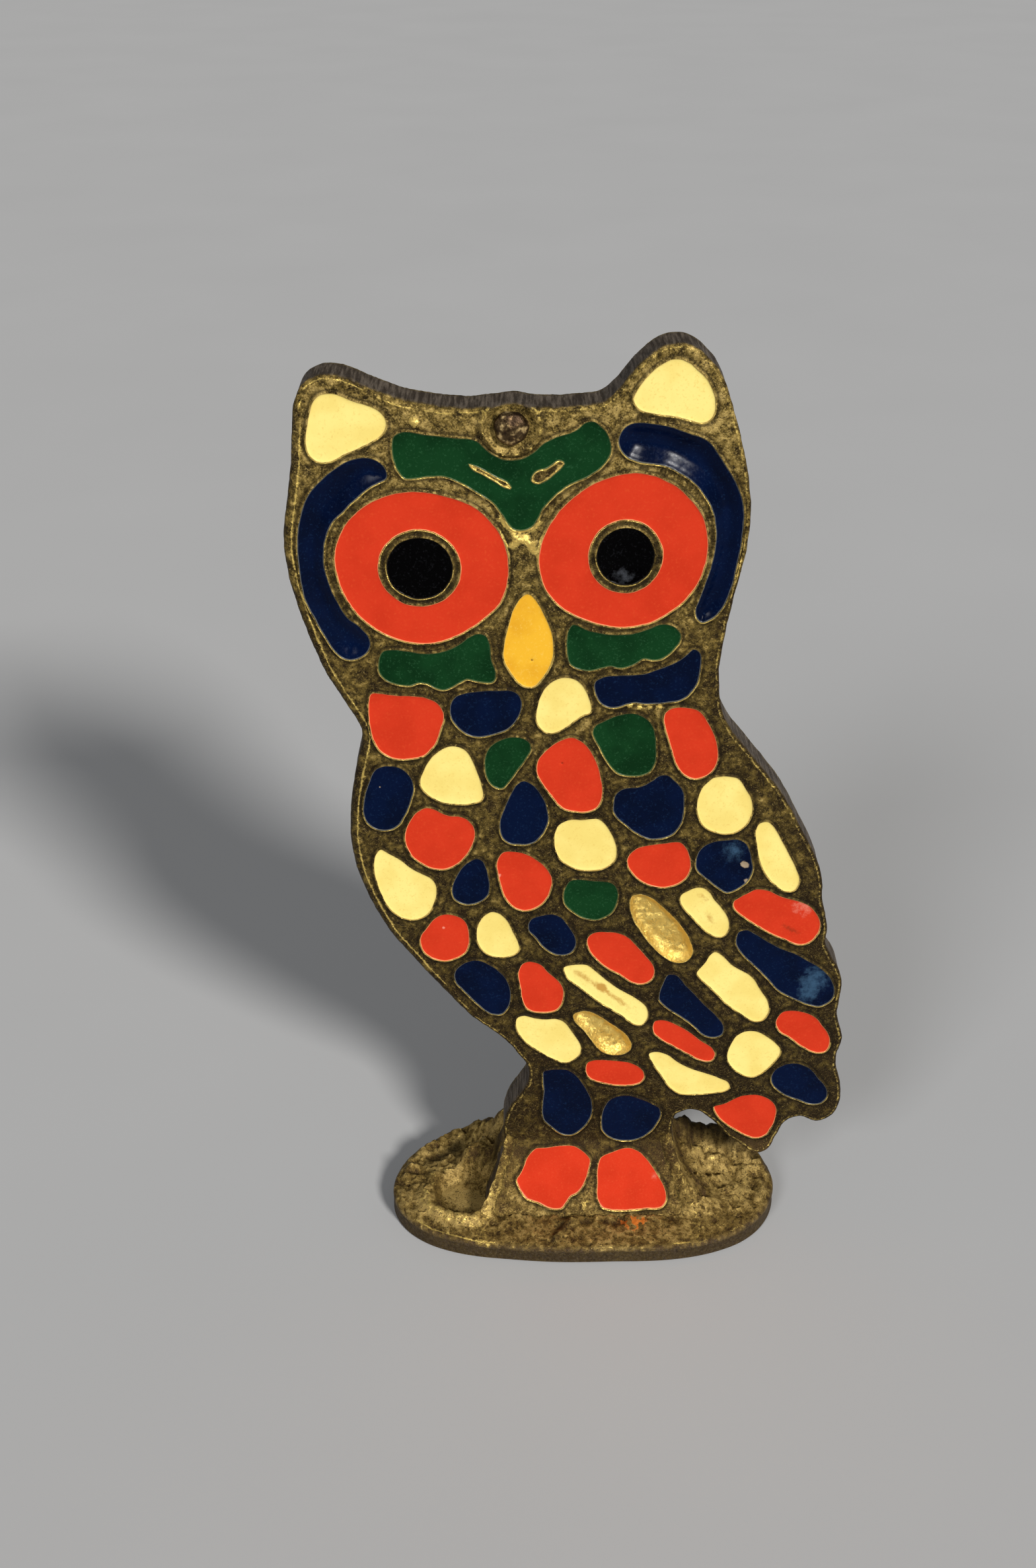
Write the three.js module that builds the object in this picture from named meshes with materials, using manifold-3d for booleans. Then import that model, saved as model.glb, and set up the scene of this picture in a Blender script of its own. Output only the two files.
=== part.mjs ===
// A small cast-brass owl, standing on its own rocky base.
// The front face is sunk with sixty shallow cells; fifty-eight still hold coloured enamel.
// Millimetres, +Z up, the face looks along -Y, the origin is on the underside of the base.
import * as THREE from 'three';
import Module from 'manifold-3d';

// ---- driving dimensions ---------------------------------------------------------------------
const PLATE_THICKNESS = 4.0;
const EDGE_CHAMFER = 0.3;
const CELL_DEPTH = 1.1;
const ENAMEL_SINK = 0.12;        // enamel surface below the brass rims
const ENAMEL_GAP = 0.04;         // clearance between an enamel fill and its brass cell
const CUT_OVERSHOOT = 1.0;       // how far a cutter stands out of the face it cuts
const EYE_RING_WIDTH = 0.7;      // brass ring between an iris and its pupil

const BASE_EDGE_HEIGHT = 1.8;
const BASE_TOP_HEIGHT = 2.2;
const BASE_CROWN = 0.6;          // extra height of the base at its middle
const BASE_CENTRE = [0.3, -0.6];
const BASE_RINGS = [0.985, 0.95, 0.86, 0.74, 0.6, 0.45, 0.3, 0.15];
const PLATE_ROOT_HEIGHT = 1.2;   // the plate starts inside the base, this far above the ground

const SLOPE_TOP = [-2.0, 10.2];  // (y, z) where the front face starts to lean forward
const SLOPE_FOOT = [-5.7, 3.0];  // (y, z) where the leaning face meets the base
const SLOPE_BACKING = 6.0;       // metal behind the leaning face

const RIVET_CENTRE = [-7.9, 92.9];
const RIVET_HEAD_RADIUS = 1.7;
const RIVET_HEAD_HEIGHT = 0.9;
const RIVET_SHANK_RADIUS = 0.95;
const RIVET_CLEARANCE = 0.05;
const RIVET_SIDES = 20;
const BOSS_RADIUS = 2.8;
const BOSS_HEIGHT = 0.35;
const BOSS_SIDES = 32;

const BODY_POINT_SPACING = 1.9;
const CELL_POINT_SPACING = 0.85;
const BASE_POINT_SPACING = 3.0;
const FEWEST_CELL_POINTS = 12;

const BACK = PLATE_THICKNESS / 2;
const FRONT = -BACK;

// ---- materials ------------------------------------------------------------------------------
const BRASS = { color: 0x7a6233, roughness: 0.45, metalness: 1.0 };
const DARK_BRASS = { color: 0x4a3826, roughness: 0.4, metalness: 1.0 };
const RED = { color: 0xd8391d, roughness: 0.25, metalness: 0.0 };
const CREAM = { color: 0xf6e08a, roughness: 0.3, metalness: 0.0 };
const BLUE = { color: 0x0b1f52, roughness: 0.15, metalness: 0.0 };
const GREEN = { color: 0x0a4a22, roughness: 0.2, metalness: 0.0 };
const YELLOW = { color: 0xeeb42c, roughness: 0.25, metalness: 0.0 };
const BLACK = { color: 0x060606, roughness: 0.2, metalness: 0.0 };

// ---- outlines, as (x, z) on the front face --------------------------------------------------
const BODY_OUTLINE = [
  // over the left ear, the dip between the ears, and the right ear
  [-27.1, 93.1], [-26.4, 96.1], [-25.3, 97.1], [-23.9, 97.5], [-22.3, 97.2], [-19.3, 95.9],
  [-17.2, 95.2], [-13.4, 94.6], [-11.0, 94.5], [-8.0, 94.9], [-5.0, 94.6], [-2.4, 94.7],
  [0.0, 95.05], [1.2, 96.0], [2.4, 97.5], [3.7, 98.9], [5.0, 99.9], [6.4, 100.2],
  [7.8, 99.9], [9.0, 99.0], [10.2, 97.6], [11.0, 95.9],
  // down the right side of the head to the neck
  [11.9, 93.1], [12.8, 90.0], [13.5, 86.5], [13.65, 84.0], [13.4, 80.5], [12.7, 76.8],
  [12.1, 73.0], [11.75, 69.5], [11.9, 66.8], [12.7, 63.6],
  // the right side of the body, with a scallop under each feather end
  [14.3, 61.3], [16.4, 58.6], [18.5, 55.9], [20.0, 53.3], [21.4, 50.6], [22.9, 47.6],
  [23.8, 44.4], [23.9, 42.6], [24.6, 40.3], [24.75, 38.6], [24.7, 37.4], [25.5, 35.5],
  [26.6, 33.5], [27.0, 31.4], [26.75, 29.2], [27.0, 27.1], [27.6, 25.3], [27.65, 24.0],
  [27.25, 22.4], [27.4, 20.9], [28.0, 18.6], [28.3, 16.7], [28.1, 14.9], [27.4, 13.6],
  [26.2, 12.9], [25.0, 13.2], [23.9, 13.7], [22.9, 13.4], [22.1, 12.3], [21.6, 10.9],
  [21.0, 9.5], [20.1, 8.7], [19.2, 8.9],
  // under the tail, round the top of the gap, and down the right leg
  [17.6, 9.8], [16.0, 11.0], [14.9, 12.5], [13.6, 13.8], [12.3, 14.6], [11.1, 14.6],
  [10.2, 13.7], [9.9, 12.3], [10.1, 10.5], [10.9, 7.5], [12.3, 4.4], [13.4, 1.2],
  // along the buried root and up the left leg
  [8.0, 1.2], [1.0, 1.2], [-6.0, 1.2], [-11.4, 1.2], [-10.5, 3.6], [-9.6, 7.0], [-9.0, 10.5],
  [-8.8, 13.2], [-8.1, 15.2], [-7.0, 17.0], [-6.2, 18.8], [-6.1, 20.4], [-6.8, 21.8],
  // the left side of the body up to the neck
  [-8.4, 24.2], [-9.9, 25.7], [-12.2, 27.6], [-14.1, 29.8], [-16.2, 32.5], [-18.2, 35.2],
  [-20.2, 38.0], [-21.7, 40.9], [-23.0, 44.2], [-23.8, 47.3], [-24.1, 50.6], [-23.8, 54.3],
  [-23.2, 58.0], [-22.6, 60.8], [-22.45, 62.5], [-23.3, 64.4],
  // the left side of the head
  [-24.6, 66.8], [-25.9, 69.5], [-27.0, 72.8], [-27.9, 76.2], [-28.5, 79.6], [-28.6, 82.4],
  [-28.15, 85.4], [-27.6, 88.5], [-27.3, 91.0],
];

const BASE_OUTLINE = [
  // (x, y) on the ground, from the front middle towards the right
  [3.4, -10.5], [9.0, -10.3], [14.0, -9.3], [18.0, -7.4], [20.8, -4.4], [22.1, -0.6],
  [21.7, 2.8], [19.6, 6.0], [15.5, 8.2], [9.5, 9.3], [2.0, 9.6], [-6.0, 9.5], [-12.5, 8.6],
  [-17.2, 6.6], [-20.2, 3.6], [-21.6, -0.4], [-20.9, -4.2], [-18.2, -7.3], [-13.8, -9.3],
  [-8.0, -10.2], [-2.5, -10.6],
];

const FOOT_MOUND_OUTLINE = [
  // (x, distance up the leaning face)
  [-8.7, 8.1], [-9.2, 5.5], [-9.8, 2.8], [-10.6, 0.0], [-11.0, -1.5],
  [11.9, -1.5], [11.5, 0.0], [10.7, 3.0], [10.1, 5.6], [9.9, 8.1],
];

const BROW_RIDGE_LEFT = [
  [-11.65, 89.45], [-10.9, 89.2], [-9.4, 88.35], [-7.85, 87.4], [-7.95, 87.1], [-9.1, 87.65],
  [-10.6, 88.6], [-11.6, 89.15],
];
const BROW_RIDGE_RIGHT = [
  [-6.1, 87.9], [-5.75, 88.75], [-4.7, 89.1], [-3.5, 89.85], [-3.15, 89.5], [-3.7, 88.9],
  [-4.7, 88.0], [-5.6, 87.6],
];

const LEFT_PUPIL = { centre: [-16.3, 79.5], radii: [3.05, 3.05] };
const RIGHT_PUPIL = { centre: [2.5, 80.65], radii: [2.65, 2.85] };

const HEAD_CELLS = [
  {
    name: 'ear_left_cream',
    look: CREAM,
    outline: [
      [-25.1, 95.1], [-24.4, 95.8], [-23.1, 95.8], [-21.6, 95.2], [-19.5, 94.4], [-18.8, 93.4],
      [-19.2, 92.2], [-21.1, 91.0], [-22.9, 90.2], [-23.8, 89.7], [-25.1, 89.7], [-25.9, 90.7],
      [-25.8, 92.7],
    ],
  },
  {
    name: 'ear_right_cream',
    look: CREAM,
    outline: [
      [2.7, 95.3], [3.4, 96.8], [4.5, 98.0], [6.1, 98.9], [7.2, 98.7], [8.2, 97.9], [9.1, 97.0],
      [9.8, 95.5], [9.8, 94.1], [9.1, 93.25], [7.8, 93.4], [6.3, 93.8], [4.7, 94.0],
      [3.3, 94.4],
    ],
  },
  {
    name: 'brow_arc_left_blue',
    look: BLUE,
    outline: [
      [-19.0, 89.0], [-20.0, 89.9], [-21.2, 90.05], [-22.3, 89.8], [-23.5, 89.1], [-24.7, 88.1],
      [-26.0, 86.7], [-26.8, 84.9], [-27.3, 82.4], [-27.35, 79.5], [-27.05, 76.7],
      [-26.3, 74.7], [-25.3, 72.5], [-24.4, 70.9], [-23.5, 70.2], [-22.4, 70.3], [-21.4, 71.1],
      [-21.1, 72.2], [-21.9, 73.5], [-23.2, 74.6], [-23.9, 76.0], [-24.6, 77.8], [-25.0, 79.9],
      [-24.8, 82.0], [-24.1, 83.8], [-22.6, 85.4], [-21.0, 86.9], [-19.9, 87.6], [-19.0, 88.0],
    ],
  },
  {
    name: 'brow_arc_right_blue',
    look: BLUE,
    outline: [
      [1.5, 91.5], [1.8, 92.5], [2.7, 93.2], [4.6, 93.15], [6.4, 92.8], [7.9, 92.2],
      [9.3, 91.7], [10.4, 90.4], [11.4, 88.9], [12.4, 87.2], [13.0, 85.2], [13.0, 82.4],
      [12.7, 79.6], [12.2, 77.0], [11.5, 75.3], [10.5, 74.3], [9.6, 74.1], [9.15, 75.1],
      [9.6, 77.0], [10.3, 79.6], [10.6, 82.4], [10.2, 84.9], [9.1, 86.9], [7.6, 88.3],
      [5.6, 89.3], [3.5, 89.6], [2.1, 90.3],
    ],
  },
  {
    name: 'forehead_green',
    look: GREEN,
    outline: [
      [-18.2, 92.0], [-17.4, 92.45], [-15.7, 92.2], [-13.0, 91.9], [-10.9, 91.6], [-9.9, 90.6],
      [-8.9, 90.0], [-7.9, 89.8], [-6.9, 90.0], [-5.9, 90.6], [-5.0, 91.4], [-3.8, 92.0],
      [-2.2, 92.6], [-1.2, 93.4],
      [-0.2, 93.1], [0.7, 91.9], [0.9, 90.5], [0.1, 89.2], [-1.3, 88.2], [-2.4, 87.7],
      [-3.8, 86.7], [-5.1, 85.2], [-5.8, 83.8], [-6.7, 83.2], [-7.7, 83.3], [-8.6, 84.5],
      [-9.6, 85.9], [-10.8, 86.7], [-12.4, 87.7], [-14.0, 88.3], [-15.8, 88.2], [-17.3, 88.1],
      [-17.9, 88.7], [-18.4, 90.2],
    ],
    islands: [BROW_RIDGE_LEFT, BROW_RIDGE_RIGHT],
  },
  {
    name: 'iris_left_red',
    look: RED,
    outline: [
      [-16.6, 86.95], [-13.9, 86.5], [-11.3, 85.5], [-9.6, 83.9], [-8.4, 81.6], [-8.15, 79.0],
      [-8.8, 76.3], [-10.4, 74.5], [-12.6, 72.9], [-15.4, 71.9], [-18.2, 72.2], [-20.6, 73.4],
      [-22.5, 75.3], [-23.6, 77.6], [-24.05, 80.3], [-23.5, 82.7], [-21.9, 84.9],
      [-19.5, 86.4],
    ],
    pupil: LEFT_PUPIL,
  },
  {
    name: 'iris_right_red',
    look: RED,
    outline: [
      [3.2, 88.7], [5.8, 88.0], [8.0, 86.4], [9.5, 84.2], [10.0, 81.6], [9.7, 79.3],
      [8.9, 77.4], [7.2, 75.4], [4.9, 74.0], [2.2, 73.55], [-0.4, 74.1], [-2.9, 75.3],
      [-4.6, 77.1], [-5.4, 79.8], [-5.05, 82.4], [-3.8, 84.8], [-2.0, 86.7], [0.4, 88.1],
    ],
    pupil: RIGHT_PUPIL,
  },
  {
    name: 'beak_yellow',
    look: YELLOW,
    outline: [
      [-6.4, 77.0], [-5.7, 76.5], [-4.9, 75.0], [-4.2, 73.3], [-3.95, 71.5], [-4.15, 69.8],
      [-4.9, 68.4], [-5.9, 67.3], [-6.9, 67.5], [-8.0, 68.8], [-8.65, 70.3], [-8.6, 72.0],
      [-8.2, 73.8], [-7.7, 75.5], [-7.0, 76.6],
    ],
  },
  {
    name: 'cheek_left_green',
    look: GREEN,
    outline: [
      [-19.9, 71.15], [-18.3, 71.2], [-16.5, 70.9], [-14.9, 70.95], [-13.2, 71.6],
      [-12.2, 72.3], [-11.3, 72.9], [-10.2, 72.7], [-9.9, 71.5], [-9.8, 70.2], [-9.4, 69.0],
      [-9.5, 68.0], [-10.6, 67.75], [-12.3, 68.1], [-13.2, 67.5], [-14.4, 66.95],
      [-15.4, 67.3], [-16.3, 67.8], [-17.6, 67.45], [-19.2, 67.7], [-20.3, 68.5],
      [-20.5, 69.9],
    ],
  },
  {
    name: 'cheek_right_green',
    look: GREEN,
    outline: [
      [-2.2, 73.9], [-0.6, 73.2], [1.2, 72.9], [3.2, 72.9], [4.6, 73.3], [6.0, 73.9],
      [7.3, 73.6], [8.0, 72.6], [7.6, 71.6], [6.5, 70.45], [5.5, 70.15], [4.5, 70.3],
      [3.6, 69.65], [2.5, 69.3], [1.3, 69.55], [0.0, 69.1], [-1.4, 69.15], [-2.4, 69.8],
      [-2.7, 71.2], [-2.7, 72.8],
    ],
  },
  {
    name: 'collar_right_blue',
    look: BLUE,
    outline: [
      [0.0, 67.9], [0.8, 68.4], [2.8, 68.6], [4.6, 68.75], [6.4, 69.4], [8.1, 70.3],
      [9.4, 71.4], [9.95, 70.6], [9.9, 68.6], [9.4, 67.0], [8.4, 66.0], [7.0, 65.65],
      [5.0, 65.5], [3.6, 65.6], [2.3, 65.15], [1.2, 65.2], [0.3, 66.0],
    ],
  },
];

const FEATHER_CELLS = [
  {
    name: 'feather_1a_red',
    look: RED,
    outline: [
      [-21.3, 66.6], [-19.0, 66.45], [-16.6, 66.3], [-15.1, 65.7], [-14.4, 64.4],
      [-14.7, 62.8], [-15.4, 61.0], [-16.5, 59.8], [-18.2, 59.4], [-19.9, 59.7],
      [-21.1, 61.0], [-21.6, 63.2], [-21.6, 65.4],
    ],
  },
  {
    name: 'feather_1b_blue',
    look: BLUE,
    outline: [
      [-13.1, 66.4], [-11.6, 66.8], [-9.4, 66.95], [-7.6, 66.85], [-6.95, 65.8], [-7.2, 64.2],
      [-8.1, 62.9], [-9.8, 62.1], [-11.6, 61.95], [-13.0, 62.8], [-13.8, 64.2], [-13.7, 65.6],
    ],
  },
  {
    name: 'feather_1c_cream',
    look: CREAM,
    outline: [
      [-4.8, 67.1], [-3.9, 68.05], [-2.7, 68.4], [-1.6, 68.0], [-0.8, 66.9], [-0.3, 65.5],
      [-0.2, 64.75], [-1.3, 64.1], [-2.5, 63.1], [-4.1, 62.3], [-5.1, 62.8], [-5.6, 64.2],
      [-5.3, 65.8],
    ],
  },
  {
    name: 'feather_1d_green',
    look: GREEN,
    outline: [
      [0.2, 63.2], [1.3, 63.8], [2.5, 64.35], [4.0, 64.45], [5.1, 63.9], [5.8, 62.9],
      [6.1, 60.9], [6.1, 59.2], [5.5, 57.9], [3.9, 57.5], [2.4, 57.9], [1.3, 59.3],
      [0.5, 61.0], [-0.1, 62.3],
    ],
  },
  {
    name: 'feather_1e_red',
    look: RED,
    outline: [
      [6.8, 64.5], [7.6, 65.1], [9.0, 65.1], [10.2, 64.7], [11.0, 63.5], [11.8, 61.9],
      [12.2, 60.1], [12.0, 58.5], [11.1, 57.5], [10.2, 57.15], [9.1, 57.6], [8.2, 58.7],
      [7.6, 60.4], [7.1, 62.2], [6.7, 63.5],
    ],
  },
  {
    name: 'feather_2a_blue',
    look: BLUE,
    outline: [
      [-21.2, 58.3], [-20.1, 58.7], [-18.8, 58.4], [-17.8, 57.4], [-17.55, 56.0], [-18.0, 54.3],
      [-18.7, 52.6], [-19.6, 51.5], [-20.8, 51.25], [-22.0, 51.7], [-22.6, 52.9],
      [-22.55, 54.7], [-22.0, 56.7],
    ],
  },
  {
    name: 'feather_2b_cream',
    look: CREAM,
    outline: [
      [-13.8, 60.9], [-14.8, 60.5], [-15.8, 59.5], [-16.6, 58.0], [-16.95, 56.7],
      [-16.3, 55.5], [-15.0, 54.6], [-13.4, 54.3], [-11.8, 54.4], [-10.8, 54.9],
      [-10.9, 56.7], [-11.4, 58.4], [-12.0, 59.9], [-12.8, 60.75],
    ],
  },
  {
    name: 'feather_2c_green',
    look: GREEN,
    outline: [
      [-7.6, 61.9], [-6.5, 61.6], [-5.95, 60.8], [-6.4, 59.7], [-7.2, 58.4], [-8.1, 57.0],
      [-8.9, 56.1], [-9.8, 56.4], [-10.4, 57.5], [-10.55, 59.2], [-10.1, 60.7], [-9.0, 61.6],
    ],
  },
  {
    name: 'feather_2d_red',
    look: RED,
    outline: [
      [-2.0, 61.9], [-3.2, 61.5], [-4.4, 60.6], [-5.3, 59.4], [-5.5, 58.0], [-4.9, 56.6],
      [-4.0, 55.2], [-3.0, 53.9], [-1.8, 53.45], [-0.4, 53.4], [0.7, 54.1], [1.05, 55.7],
      [0.8, 57.6], [0.2, 59.5], [-0.7, 61.0],
    ],
  },
  {
    name: 'feather_2e_blue',
    look: BLUE,
    outline: [
      [2.15, 54.4], [2.4, 55.6], [3.2, 56.15], [4.8, 56.35], [5.8, 57.0], [7.0, 57.75],
      [8.1, 57.0], [9.0, 55.8], [9.2, 54.1], [9.0, 52.2], [8.3, 50.9], [7.2, 50.3],
      [5.7, 50.3], [4.3, 51.1], [3.0, 52.3], [2.25, 53.2],
    ],
  },
  {
    name: 'feather_2f_cream',
    look: CREAM,
    outline: [
      [11.8, 57.3], [13.1, 57.5], [14.3, 57.3], [15.1, 56.1], [15.9, 54.6], [15.9, 53.0],
      [15.2, 51.6], [14.0, 50.9], [12.6, 51.0], [11.3, 51.7], [10.6, 53.0], [10.4, 54.5],
      [10.8, 56.1],
    ],
  },
  {
    name: 'feather_3a_red',
    look: RED,
    outline: [
      [-16.4, 53.9], [-15.3, 53.6], [-14.4, 53.05], [-12.7, 52.8], [-11.8, 51.9],
      [-11.55, 50.8], [-12.0, 49.2], [-12.8, 47.9], [-14.1, 46.8], [-15.5, 46.6],
      [-16.9, 47.2], [-18.1, 48.4], [-18.65, 50.1], [-18.4, 51.7], [-17.5, 53.2],
    ],
  },
  {
    name: 'feather_3b_blue',
    look: BLUE,
    outline: [
      [-6.8, 57.0], [-5.8, 56.5], [-5.0, 55.4], [-4.4, 53.9], [-4.3, 52.3], [-4.8, 50.9],
      [-5.7, 49.8], [-7.1, 49.55], [-8.5, 49.9], [-9.1, 51.1], [-9.1, 52.5], [-8.6, 54.0],
      [-8.0, 55.5], [-7.5, 56.5],
    ],
  },
  {
    name: 'feather_3c_cream',
    look: CREAM,
    outline: [
      [-3.3, 51.8], [-2.2, 52.5], [-0.7, 52.5], [0.7, 52.6], [1.6, 51.7], [2.3, 50.4],
      [2.65, 48.9], [2.4, 47.6], [1.3, 46.7], [-0.3, 46.45], [-1.9, 46.9], [-3.1, 47.9],
      [-3.6, 49.3], [-3.65, 50.7],
    ],
  },
  {
    name: 'feather_3d_red',
    look: RED,
    outline: [
      [9.0, 49.85], [7.6, 49.75], [6.0, 49.5], [4.6, 49.1], [3.8, 48.1], [3.8, 47.0],
      [4.6, 45.7], [6.0, 44.7], [7.5, 44.4], [9.0, 44.8], [10.0, 46.0], [10.2, 47.4],
      [9.8, 48.8],
    ],
  },
  {
    name: 'feather_3e_blue',
    look: BLUE,
    outline: [
      [11.0, 48.9], [12.0, 49.8], [13.5, 50.1], [15.1, 50.1], [15.9, 49.2], [16.3, 47.8],
      [16.5, 46.5], [16.1, 45.2], [15.2, 44.3], [14.1, 43.75], [13.0, 44.4], [11.9, 45.4],
      [10.9, 46.4], [10.65, 47.7],
    ],
  },
  {
    name: 'feather_3f_cream',
    look: CREAM,
    outline: [
      [16.45, 51.3], [16.9, 52.2], [17.6, 52.3], [18.3, 51.6], [19.1, 50.2], [20.0, 48.5],
      [20.8, 46.9], [21.3, 45.4], [21.0, 44.1], [20.1, 43.9], [19.0, 44.6], [17.9, 45.9],
      [17.2, 47.5], [16.7, 49.3],
    ],
  },
  {
    name: 'feather_4a_cream',
    look: CREAM,
    outline: [
      [-21.1, 49.0], [-20.3, 48.5], [-19.2, 47.8], [-18.3, 46.9], [-17.1, 46.1], [-15.9, 45.3],
      [-15.6, 44.1], [-15.9, 42.5], [-16.6, 41.1], [-17.9, 40.4], [-19.3, 40.7],
      [-20.6, 42.0], [-21.4, 44.0], [-21.85, 46.2], [-21.7, 48.2],
    ],
  },
  {
    name: 'feather_4b_blue',
    look: BLUE,
    outline: [
      [-11.5, 47.9], [-10.8, 47.5], [-10.4, 46.3], [-10.2, 44.7], [-10.4, 43.3],
      [-11.4, 42.5], [-12.8, 42.3], [-13.9, 43.1], [-14.0, 44.5], [-13.5, 45.9], [-12.7, 47.1],
    ],
  },
  {
    name: 'feather_4c_red',
    look: RED,
    outline: [
      [-8.8, 48.65], [-7.5, 48.75], [-6.0, 48.2], [-4.8, 47.2], [-3.9, 45.8], [-3.9, 44.3],
      [-4.5, 42.8], [-5.6, 41.8], [-6.8, 41.5], [-8.0, 42.2], [-8.9, 43.9], [-9.3, 45.8],
      [-9.45, 47.5],
    ],
  },
  {
    name: 'feather_4d_green',
    look: GREEN,
    outline: [
      [-2.5, 44.4], [-1.9, 45.3], [-0.8, 45.35], [0.6, 45.2], [2.1, 45.0], [2.85, 44.2],
      [2.9, 42.7], [2.3, 41.2], [1.1, 40.4], [-0.3, 40.5], [-1.7, 41.4], [-2.6, 42.6],
    ],
  },
  {
    name: 'feather_4e_cream',
    look: CREAM,
    outline: [
      [9.4, 43.5], [10.3, 44.1], [11.4, 44.45], [12.2, 43.9], [12.9, 42.8], [13.7, 41.8],
      [14.4, 40.5], [14.5, 39.1], [13.8, 38.15], [12.9, 38.4], [11.8, 39.3], [10.7, 40.6],
      [9.7, 41.9], [9.3, 42.8],
    ],
  },
  {
    name: 'feather_4f_red',
    look: RED,
    outline: [
      [14.8, 42.7], [15.8, 43.4], [17.0, 44.2], [18.3, 44.0], [19.5, 43.3], [20.9, 42.9],
      [22.2, 42.4], [23.2, 41.5], [23.9, 40.2], [23.8, 38.6], [23.0, 37.5], [21.9, 37.2],
      [20.6, 37.8], [19.0, 38.6], [17.3, 39.7], [15.8, 40.9], [14.9, 41.8],
    ],
  },
  {
    name: 'feather_5a_red',
    look: RED,
    outline: [
      [-15.2, 41.0], [-13.8, 40.95], [-12.8, 40.3], [-12.4, 39.1], [-12.35, 37.6],
      [-12.7, 36.3], [-13.7, 35.5], [-15.2, 35.1], [-16.6, 35.7], [-17.4, 37.0],
      [-17.4, 38.3], [-16.8, 39.3], [-16.1, 40.3],
    ],
  },
  {
    name: 'feather_5b_cream',
    look: CREAM,
    outline: [
      [-10.0, 41.4], [-9.1, 41.1], [-8.4, 40.2], [-7.8, 38.9], [-7.3, 37.6], [-7.2, 36.5],
      [-7.9, 35.8], [-9.1, 35.6], [-10.3, 35.9], [-11.2, 36.8], [-11.6, 38.2], [-11.4, 39.8],
      [-10.8, 40.9],
    ],
  },
  {
    name: 'feather_5c_blue',
    look: BLUE,
    outline: [
      [-5.9, 40.5], [-4.8, 40.9], [-3.6, 41.05], [-2.7, 40.5], [-2.0, 39.4], [-1.4, 38.3],
      [-1.25, 37.0], [-2.0, 36.0], [-3.2, 35.9], [-4.5, 36.7], [-5.5, 38.1], [-6.3, 39.3],
    ],
  },
  {
    name: 'feather_5d_red',
    look: RED,
    outline: [
      [-0.1, 38.0], [0.6, 38.75], [2.0, 38.85], [3.2, 38.7], [4.2, 38.1], [5.2, 36.9],
      [6.2, 35.6], [7.0, 34.3], [7.0, 33.0], [6.0, 32.15], [4.8, 32.3], [3.5, 33.3],
      [2.1, 34.2], [1.0, 35.2], [0.1, 36.6],
    ],
  },
  {
    name: 'feather_5e_blue',
    look: BLUE,
    outline: [
      [15.6, 38.9], [16.4, 39.1], [17.3, 38.6], [18.6, 37.7], [20.0, 36.8], [21.6, 36.1],
      [23.2, 35.1], [24.7, 34.0], [25.8, 32.6], [26.25, 31.0], [25.8, 29.7], [24.7, 29.1],
      [23.3, 29.5], [21.7, 30.3], [20.2, 31.3], [18.9, 32.9], [17.6, 34.4], [16.3, 35.8],
      [15.4, 37.2],
    ],
  },
  {
    name: 'feather_6a_blue',
    look: BLUE,
    outline: [
      [-12.6, 35.0], [-11.5, 35.2], [-10.4, 34.7], [-9.2, 33.7], [-8.4, 32.4], [-8.05, 30.8],
      [-8.3, 29.0], [-9.2, 28.0], [-10.3, 28.2], [-11.6, 29.4], [-12.9, 31.0], [-14.0, 32.6],
      [-13.8, 34.0],
    ],
  },
  {
    name: 'feather_6b_red',
    look: RED,
    outline: [
      [-6.2, 35.05], [-5.0, 34.7], [-4.1, 33.6], [-3.0, 32.5], [-2.45, 31.2], [-2.6, 29.6],
      [-3.4, 28.5], [-4.8, 28.3], [-6.1, 28.6], [-6.8, 29.8], [-7.05, 31.6], [-7.3, 33.4],
      [-7.0, 34.5],
    ],
  },
  {
    name: 'feather_6c_cream',
    look: CREAM,
    outline: [
      [-2.5, 34.3], [-1.3, 34.65], [0.0, 34.6], [1.1, 33.6], [2.3, 32.4], [3.8, 31.2],
      [5.3, 30.2], [6.4, 29.1], [6.6, 27.8], [6.0, 26.65], [5.1, 26.75], [3.9, 27.8],
      [2.4, 28.9], [0.9, 30.1], [-0.6, 31.5], [-2.0, 32.8],
    ],
  },
  {
    name: 'feather_6d_blue',
    look: BLUE,
    outline: [
      [8.5, 33.35], [9.4, 33.3], [10.3, 32.1], [11.5, 30.7], [12.8, 29.1], [14.0, 27.8],
      [14.8, 26.4], [14.6, 25.2], [13.6, 24.85], [12.6, 25.3], [11.4, 26.6], [10.0, 27.8],
      [8.6, 28.9], [7.7, 30.1], [7.9, 31.8],
    ],
  },
  {
    name: 'feather_6e_cream',
    look: CREAM,
    outline: [
      [13.3, 36.3], [14.2, 35.7], [15.2, 34.6], [16.4, 33.8], [17.5, 32.9], [18.3, 31.5],
      [19.2, 30.0], [19.5, 28.6], [18.9, 27.3], [17.8, 27.2], [16.3, 28.3], [14.8, 29.5],
      [13.7, 30.9], [12.5, 32.2], [11.5, 33.5], [12.2, 34.7], [12.8, 35.9],
    ],
  },
  {
    name: 'feather_7a_cream',
    look: CREAM,
    outline: [
      [-7.4, 27.6], [-6.7, 27.9], [-5.6, 27.6], [-4.4, 27.4], [-2.9, 27.4], [-2.0, 26.6],
      [-1.2, 25.2], [-0.5, 23.9], [-0.5, 22.8], [-1.2, 21.9], [-2.1, 21.4], [-3.4, 21.9],
      [-5.0, 23.0], [-6.5, 24.3], [-7.4, 25.9],
    ],
  },
  {
    name: 'feather_7b_red',
    look: RED,
    outline: [
      [7.4, 27.2], [8.4, 27.3], [9.7, 26.7], [11.1, 25.7], [12.4, 24.5], [13.7, 23.5],
      [14.1, 22.4], [13.6, 21.6], [12.5, 21.8], [11.2, 22.6], [9.7, 23.6], [8.2, 24.6],
      [7.2, 25.8],
    ],
  },
  {
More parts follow.
